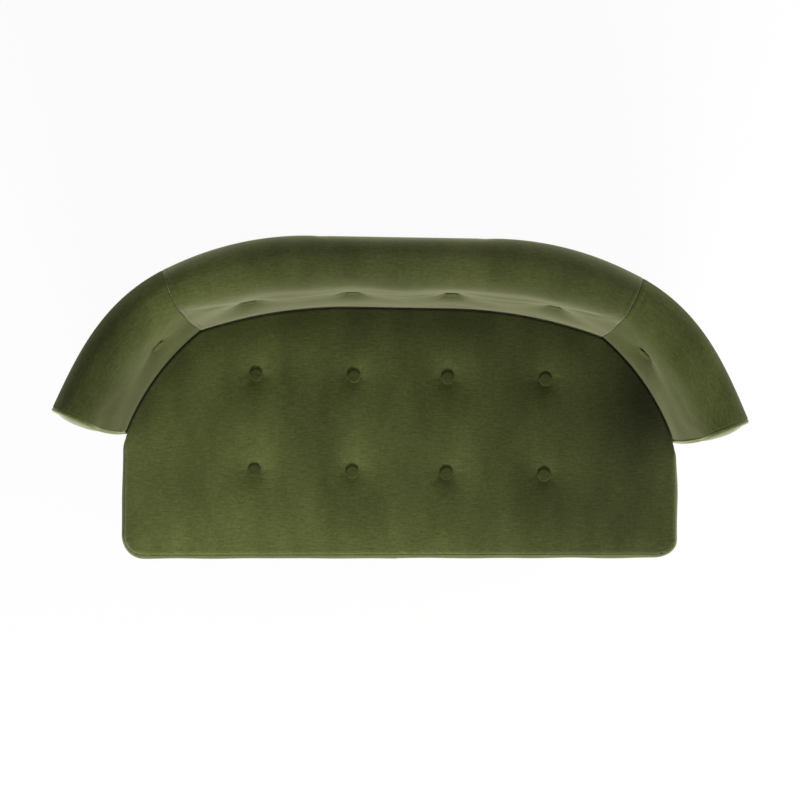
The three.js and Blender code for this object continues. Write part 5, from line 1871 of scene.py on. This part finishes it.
@dataclass(frozen=True)
class Velvet:
    """Olive cotton velvet, with light and shade painted into its colour by a gain for each copy and, on some
    pieces, by their nap attribute.
    """

    name: str
    # Whether the colour is multiplied by the light and shade painted on the piece.
    brushed: bool = False
    colour: tuple[float, float, float] = (0.056, 0.066, 0.0165)
    # How much lighter or darker this copy's colour is painted, standing in for how light falls on the parts it
    # covers.
    bright: float = 1.0
    lean: tuple[float, float, float] = (-0.10, -0.16, 0.0)
    sheen: float = 1.0
    sheen_roughness: float = 0.45
    sheen_tint: tuple[float, float, float] = (0.80, 0.83, 0.50)
    bump: float = 0.00025

    def make(self) -> bpy.types.Material:
        """Builds the velvet."""
        grid, shader, material = started(self.name)
        place = grid.add("TexCoord").outputs["Object"]
        cloth = grid.add("UVMap", None, uv_map="cloth").outputs[0]
        # The colour made lighter or darker by this copy's painted light gain.
        lit_colour = (*(c * self.bright for c in self.colour), 1.0)
        pile = grid.group(EFFECTS.pile, {"Place": place, "Cloth": cloth, "Colour": lit_colour})
        bump = grid.add("Bump", {"Height": pile["Height"], "Strength": 0.35, "Distance": self.bump})
        lean = grid.group(EFFECTS.nap, {"Normal": bump.outputs[0], "Lean": self.lean})
        colour = pile["Color"]
        # Multiplies the colour by the light and shade painted on the piece.
        if self.brushed:
            shade = grid.add("Attribute", None, attribute_name="nap").outputs["Fac"]
            colour = grid.vector("MULTIPLY", colour, grid.grey(shade))
        values = {
            "Base Color": colour,
            "Normal": lean["Normal"],
            "Roughness": grid.between(pile["Sheen mask"], 0.0, 1.0, 0.95, 0.8),
            "Specular IOR Level": 0.12,
            "Sheen Weight": self.sheen,
            "Sheen Roughness": self.sheen_roughness,
            "Sheen Tint": (*self.sheen_tint, 1.0),
        }
        grid.feed(shader, values)
        return material


@dataclass(frozen=True)
class Timber:
    """Wood with its grain along one axis."""

    name: str
    early: tuple[float, float, float]
    late: tuple[float, float, float]
    turn: tuple[float, float, float] = (0.0, 0.0, 0.0)
    stretch: tuple[float, float, float] = (1.0, 1.0, 0.07)
    rings: float = 55.0
    roughness: float = 0.6
    coat: float = 0.0
    worn: tuple[float, float, float] | None = None
    bump: float = 0.00012

    def make(self) -> bpy.types.Material:
        """Builds the wood."""
        grid, shader, material = started(self.name)
        place = grid.add("TexCoord").outputs["Object"]
        grained = grid.add("Mapping", {"Vector": place, "Rotation": self.turn}).outputs[0]
        along = grid.vector("MULTIPLY", grained, self.stretch)
        values = {"Early wood": (*self.early, 1.0), "Late wood": (*self.late, 1.0), "Rings": self.rings}
        grain = grid.group(EFFECTS.grain, {"Place": along, **values})
        colour = grain["Color"]
        rough = grid.math("ADD", grain["Roughness"], self.roughness)
        if self.worn is not None:
            wear = wear_on(grid, place)
            colour = grid.blend(grid.math("MULTIPLY", wear["Wear"], 0.55), colour, (*self.worn, 1.0))
            rough = grid.math("MULTIPLY_ADD", wear["Scuffs"], 0.18, rough)
        grid.surface(shader, colour, rough, grain["Height"], 0.4, self.bump)
        grid.feed(shader, {"Coat Weight": self.coat, "Coat Roughness": 0.22})
        return material


@dataclass(frozen=True)
class WovenCloth:
    """A plain cloth with visible threads."""

    name: str
    thread: tuple[float, float, float]
    between: tuple[float, float, float]
    threads: float
    roughness: float = 0.9
    bump: float = 0.0004

    def make(self) -> bpy.types.Material:
        """Builds the cloth."""
        grid, shader, material = started(self.name)
        place = grid.add("TexCoord").outputs["Object"]
        weave = grid.group(EFFECTS.weave, {"Place": place, "Threads": self.threads})
        slubs = grid.noise(grid.vector("MULTIPLY", place, (1.0, 0.1, 1.0)), 260.0, 3.0, 0.6)
        thread = grid.vector("MULTIPLY", grid.grey(grid.between(slubs, 0.3, 0.7, 0.72, 1.2)), self.thread)
        colour = grid.blend(weave["Gap"], thread, (*self.between, 1.0))
        rough = grid.math("MULTIPLY_ADD", weave["Gap"], 0.08, self.roughness)
        grid.surface(shader, colour, rough, weave["Height"], 0.6, self.bump)
        grid.feed(shader, {"Specular IOR Level": 0.15})
        return material


@dataclass(frozen=True)
class Worked:
    """A plated metal or a moulded plastic, with fine marks and wear."""

    name: str
    colour: tuple[float, float, float]
    metallic: float
    roughness: float
    marks: float = 0.15
    stretch: tuple[float, float, float] = (1.0, 1.0, 0.05)

    def make(self) -> bpy.types.Material:
        """Builds the finish."""
        grid, shader, material = started(self.name)
        place = grid.add("TexCoord").outputs["Object"]
        wear = wear_on(grid, place)
        fine = grid.noise(grid.vector("MULTIPLY", place, self.stretch), 1800.0, 3.0, 0.6)
        cloud = grid.between(grid.noise(place, 120.0, 3.0, 0.5), 0.3, 0.7, 0.82, 1.12)
        tone = grid.math("MULTIPLY", cloud, grid.between(fine, 0.2, 0.8, 0.93, 1.07))
        colour = grid.vector("MULTIPLY", grid.grey(tone), self.colour)
        lighter = (*(min(1.0, c * 1.5 + 0.03) for c in self.colour), 1.0)
        colour = grid.blend(grid.math("MULTIPLY", wear["Wear"], 0.6), colour, lighter)
        rough = grid.math("MULTIPLY_ADD", fine, self.marks, self.roughness)
        rough = grid.math("MULTIPLY_ADD", wear["Scuffs"], 0.1, rough)
        grid.surface(shader, colour, rough, fine, 0.25, 0.00005)
        grid.feed(shader, {"Metallic": self.metallic})
        return material


@dataclass
class Finishes:
    """Every finish of the settee, made once."""

    materials: dict[str, bpy.types.Material] = field(default_factory=dict)

    def make_all(self) -> None:
        """Builds each finish."""
        plain = {"early": (0.56, 0.41, 0.25), "late": (0.40, 0.27, 0.15)}
        along = {"turn": (0.0, math.pi / 2, 0.0)}
        recipes = (
            # Copies of one velvet: their gains paint light and shade into the colour of the seat, back, arms,
            # sides, facings, buttons and welts.
            Velvet("velvet"),
            Velvet("velvet_seat", True, lean=(-0.30, -0.05, 0.0), bright=1.02, sheen=0.6),
            Velvet("velvet_back", True, lean=(0.0, -0.04, 0.0), bright=0.80, sheen_roughness=0.40,
                   sheen_tint=(1.0, 1.0, 0.66)),
            Velvet("velvet_arms", True, lean=(0.0, -0.04, 0.0), sheen=0.27, bright=0.86),
            Velvet("velvet_sides", sheen=0.3, bright=0.9),
            Velvet("velvet_facings", bright=1.35, sheen_tint=(1.0, 1.0, 0.82)),
            Velvet("velvet_buttons", bright=0.78, lean=(0.0, 0.0, 0.0), sheen=0.6,
                   sheen_roughness=0.3, sheen_tint=(1.0, 1.0, 0.55)),
            Velvet("velvet_welts", bright=1.15),
            Timber("frame_wood", **plain, roughness=0.62),
            Timber("frame_wood_lengthwise", **plain, **along, roughness=0.62),
            Timber("panel_board", (0.46, 0.33, 0.19), (0.36, 0.25, 0.14), stretch=(0.5, 0.5, 0.5), rings=5.0,
                   roughness=0.5),
            Timber("leg_wood", (0.085, 0.040, 0.021), (0.036, 0.017, 0.010), rings=60.0, roughness=0.32, coat=0.35,
                   worn=(0.20, 0.105, 0.055)),
            Worked("bolt_steel", (0.55, 0.55, 0.56), 1.0, 0.28),
            Worked("staple_steel", (0.42, 0.42, 0.43), 1.0, 0.35),
            Worked("glide_plastic", (0.030, 0.030, 0.031), 0.0, 0.42, stretch=(1.0, 1.0, 1.0)),
            WovenCloth("dust_cambric", (0.028, 0.028, 0.030), (0.006, 0.006, 0.006), 900.0),
            WovenCloth("webbing_jute", (0.44, 0.33, 0.18), (0.18, 0.12, 0.06), 420.0),
            WovenCloth("seam_thread", (0.17, 0.18, 0.095), (0.09, 0.10, 0.05), 2600.0, bump=0.0001),
        )
        for recipe in recipes:
            self.materials[recipe.name] = recipe.make()

    def __getitem__(self, name: str) -> bpy.types.Material:
        """The finish of that name."""
        return self.materials[name]


# The settee and the studio


@dataclass
class Settee:
    """The whole settee, dressed over its frame."""

    finishes: Finishes
    pieces: list[str] = field(default_factory=list)
    back_tufts: tuple[float, ...] = (-0.3110175, -0.100968, 0.100968, 0.3110175)
    arm_tuft: float = 0.082
    gap: float = 0.0003

    def _settle(self, piece: bpy.types.Object, slot: str, *nodes: str) -> bpy.types.Object:
        """Lets a piece ride on the frame, instead of its nodes."""
        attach(piece, "root")
        if nodes:
            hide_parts(*nodes)
        self.pieces.append(piece.name)
        replaced = ", ".join(nodes) or "nothing"
        LOG.info("%s: %d faces, in place of %s", piece.name, len(piece.data.polygons), replaced)
        return piece

    def _tuft_places(self) -> dict[str, tuple[float, ...]]:
        """Places of the tufts along the back and along each arm."""
        back, arm = (line.length for line in PLAN.foot_lines)
        place = 1 + self.arm_tuft / arm
        return {"back": tuple(t / back for t in self.back_tufts), "left": (-place,), "right": (place,)}

    def _spans(self) -> dict[str, tuple[float, float]]:
        """Places where the back and each arm start and end, a gap away from their seams."""
        back, arm = (line.length for line in PLAN.foot_lines)
        near, far = 1 - self.gap / back, 1 + self.gap / arm
        return {"back": (-near, near), "left": (-2.0, -far), "right": (far, 2.0)}

    def build_padding(self) -> None:
        """Builds the padding of back, arms and seat."""
        seat, sides = self.finishes["velvet_seat"], self.finishes["velvet_sides"]
        tufts = self._tuft_places()
        spans = self._spans()
        pads = (
            (InsidePad("inside_back_pad", *spans["back"], tufts["back"], (True, True)), "inside_back"),
            (InsidePad("inside_arm_pad_left", *spans["left"], tufts["left"], (False, True)), "inside_arm_left"),
            (InsidePad("inside_arm_pad_right", *spans["right"], tufts["right"], (True, False)), "inside_arm_right"),
        )
        for pad, node in pads:
            # The back's and arms' copies of the velvet differ in painted light gain and sheen.
            cloth = self.finishes["velvet_back" if node == "inside_back" else "velvet_arms"]
            self._settle(pad.build(cloth), "velvet", node)
        self._settle(SeatTop().build(seat), "velvet", "seat_pad")
        self._settle(SeatBoxing().build(sides), "velvet", "seat_pad")
        for side in Side:
            facing = ArmFacing(side).build(self.finishes["velvet_facings"])
            self._settle(facing, "velvet", f"arm_facing_{side.word}")
            welt = FacingWelt(side).build(self.finishes["velvet_welts"])
            self._settle(welt, "velvet", f"facing_welt_{side.word}")

    def build_outside(self) -> None:
        """Builds the stretched cloth outside and under the front of the seat."""
        velvet = self.finishes["velvet"]
        spans = self._spans()
        panels = (
            (OutsidePanel("outside_back_cover", *spans["back"]), "outside_back"),
            (OutsidePanel("outside_arm_cover_left", *spans["left"]), "outside_arm_left"),
            (OutsidePanel("outside_arm_cover_right", *spans["right"]), "outside_arm_right"),
            (Apron(), "seat_apron"),
        )
        for panel, node in panels:
            self._settle(panel.build(velvet), "velvet", node)

    def _back_button(self, name: str, place: float) -> Button:
        """A button of the back or an arm, square to its bed."""
        step = 1e-3
        places = np.array([place - step, place, place + step])
        stations = PLAN.stations(places)
        z = SIZES.tuft_height + np.array([-step, 0, step])
        points = stations.at(SECTION.face(z)[None, :] + SIZES.tuft_depth - self.gap, z)
        across, up = points[2, 1] - points[0, 1], points[1, 2] - points[1, 0]
        normal = np.cross(across, up)
        return Button(name, Vector(points[1, 1]), Vector(normal / np.linalg.norm(normal)))

    def build_buttons(self) -> None:
        """Builds the covered buttons of seat, back and arms."""
        cloth = self.finishes["velvet_buttons"]
        buttons = []
        for index in range(1, 9):
            foot = foot_of(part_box(f"seat_button_{index}"))
            buttons.append((Button(f"seat_button_cover_{index}", foot, Vector((0, 0, 1))), f"seat_button_{index}"))
        tufts = self._tuft_places()
        for index, place in enumerate(tufts["back"], 1):
            buttons.append((self._back_button(f"back_button_cover_{index}", place), f"back_button_{index}"))
        for side in Side:
            name = f"arm_button_cover_{side.word}"
            buttons.append((self._back_button(name, tufts[side.word][0]), f"arm_button_{side.word}"))
        for button, node in buttons:
            self._settle(button.build(cloth), "velvet", node)

    def build_legs(self) -> None:
        """Builds the legs and their glides."""
        wood, plastic = self.finishes["leg_wood"], self.finishes["glide_plastic"]
        for side in Side:
            self._settle(FrontLeg(side).build(wood), "leg_wood", f"front_leg_{side.word}")
            self._settle(RearLeg(side).build(wood), "leg_wood", f"rear_leg_{side.word}")
            for end in ("front", "rear"):
                node = f"{end}_glide_{side.word}"
                self._settle(Glide(node).build(plastic), "glide_plastic", node)

    def build_underside(self) -> None:
        """Builds the seat's webbing and the dust cover under it."""
        jute = self.finishes["webbing_jute"]
        for strap in Webbing().straps():
            piece = self._settle(strap.build(jute), "webbing_jute", "seat_webbing")
        cover, flat, area = DustCover().build(self.finishes["dust_cambric"])
        self._settle(cover, "dust_cambric", "dust_cover")

    def build_trim(self) -> None:
        """Builds the stitches and staples."""
        for side in Side:
            self._settle(SeamStitches(side).build(self.finishes["seam_thread"]), "velvet")
        self._settle(DustCoverStaples().build(self.finishes["staple_steel"]), "bolt_steel")

    def dress_frame(self) -> None:
        """Gives each node that still shows its finish."""
        slots = {part["node"]: part["material_slot"] for part in frame["record"]["subparts"]}
        lengthwise = ("back_top_rail", "front_seat_rail", "rear_seat_rail")
        for name, node in frame["nodes"].items():
            if node.hide_render:
                continue
            finish = slots[name]
            if name in lengthwise:
                finish = f"{finish}_lengthwise"
            node.data.materials.clear()
            node.data.materials.append(self.finishes[finish])
            LOG.info("%s: finished as %s", name, finish)


@dataclass
class Studio:
    """A pale floor, soft light and a camera straight above."""

    distance: float = 4.0
    lens: float = 74.2
    turn: float = 0.94
    aim: tuple[float, float] = (-0.001, 0.006)
    floor_white: float = 0.9
    world: float = 0.52

    def set_camera(self) -> None:
        """Hangs the camera over the settee, looking straight down."""
        data = bpy.data.cameras.new("camera")
        data.lens, data.sensor_width = self.lens, 36.0
        camera = bpy.data.objects.new("camera", data)
        camera.location = (*self.aim, self.distance)
        camera.rotation_euler = (0, 0, math.radians(self.turn))
        bpy.context.scene.collection.objects.link(camera)
        bpy.context.scene.camera = camera

    def _background(self, grid: Grid) -> bpy.types.NodeSocket:
        """1 where the camera sees, also in glass and metal."""
        rays = grid.add("LightPath").outputs
        seen = grid.math("MAXIMUM", rays["Is Camera Ray"], rays["Is Glossy Ray"])
        return grid.math("MAXIMUM", seen, rays["Is Transmission Ray"])

    def _floor(self) -> None:
        """Lays a pale floor that keeps the settee's soft shadow."""
        bm = bmesh.new()
        bmesh.ops.create_grid(bm, x_segments=2, y_segments=2, size=14.0)
        material = bpy.data.materials.new("pale_floor")
        grid = emptied(material)
        matt = grid.add("BsdfDiffuse", {"Color": (*(self.floor_white,) * 3, 1.0)})
        glow = grid.add("Emission", {"Color": (1, 1, 1, 1), "Strength": 1.0})
        share = grid.math("MULTIPLY", self._background(grid), 0.92)
        mixed = grid.add("MixShader", {0: share, 1: matt.outputs[0], 2: glow.outputs[0]})
        grid.add("OutputMaterial", {"Surface": mixed.outputs[0]})
        piece_of(bm, "floor", material)

    def _lamp(
        self, name: str, place: Sequence[float], size: float, power: float, colour: Sequence[float]
    ) -> None:
        """Hangs one soft lamp that faces the settee."""
        data = bpy.data.lights.new(name, "AREA")
        data.shape, data.size, data.energy, data.color = "DISK", size, power, colour
        lamp = bpy.data.objects.new(name, data)
        lamp.location = place
        lamp.rotation_euler = (Vector((0, 0, 0.45)) - Vector(place)).to_track_quat("-Z", "Y").to_euler()
        bpy.context.scene.collection.objects.link(lamp)

    def light(self) -> None:
        """Lights the settee and lays the floor."""
        scene = bpy.context.scene
        scene.view_settings.view_transform = "Standard"
        world = bpy.data.worlds.new("studio")
        grid = emptied(world)
        soft = grid.add("Background", {"Color": (1, 1, 1, 1), "Strength": self.world})
        white = grid.add("Background", {"Color": (1, 1, 1, 1), "Strength": 1.0})
        mixed = grid.add("MixShader", {0: self._background(grid), 1: soft.outputs[0], 2: white.outputs[0]})
        grid.add("OutputWorld", {"Surface": mixed.outputs[0]})
        scene.world = world
        self._floor()
        self._lamp("key", (0.5, -3.7, 2.0), 1.9, 190.0, (1.0, 0.99, 0.97))
        self._lamp("fill", (3.2, 1.2, 1.9), 1.6, 45.0, (1.0, 1.0, 1.0))


def main() -> None:
    """Builds the camera, the settee and the studio, in that order."""
    logging.basicConfig(level=logging.INFO, format="%(name)s %(message)s")
    studio = Studio()
    studio.set_camera()
    finishes = Finishes()
    finishes.make_all()
    settee = Settee(finishes)
    settee.build_padding()
    settee.build_outside()
    settee.build_buttons()
    settee.build_legs()
    settee.build_underside()
    settee.build_trim()
    settee.dress_frame()
    studio.light()


if __name__ == "__main__":
    main()
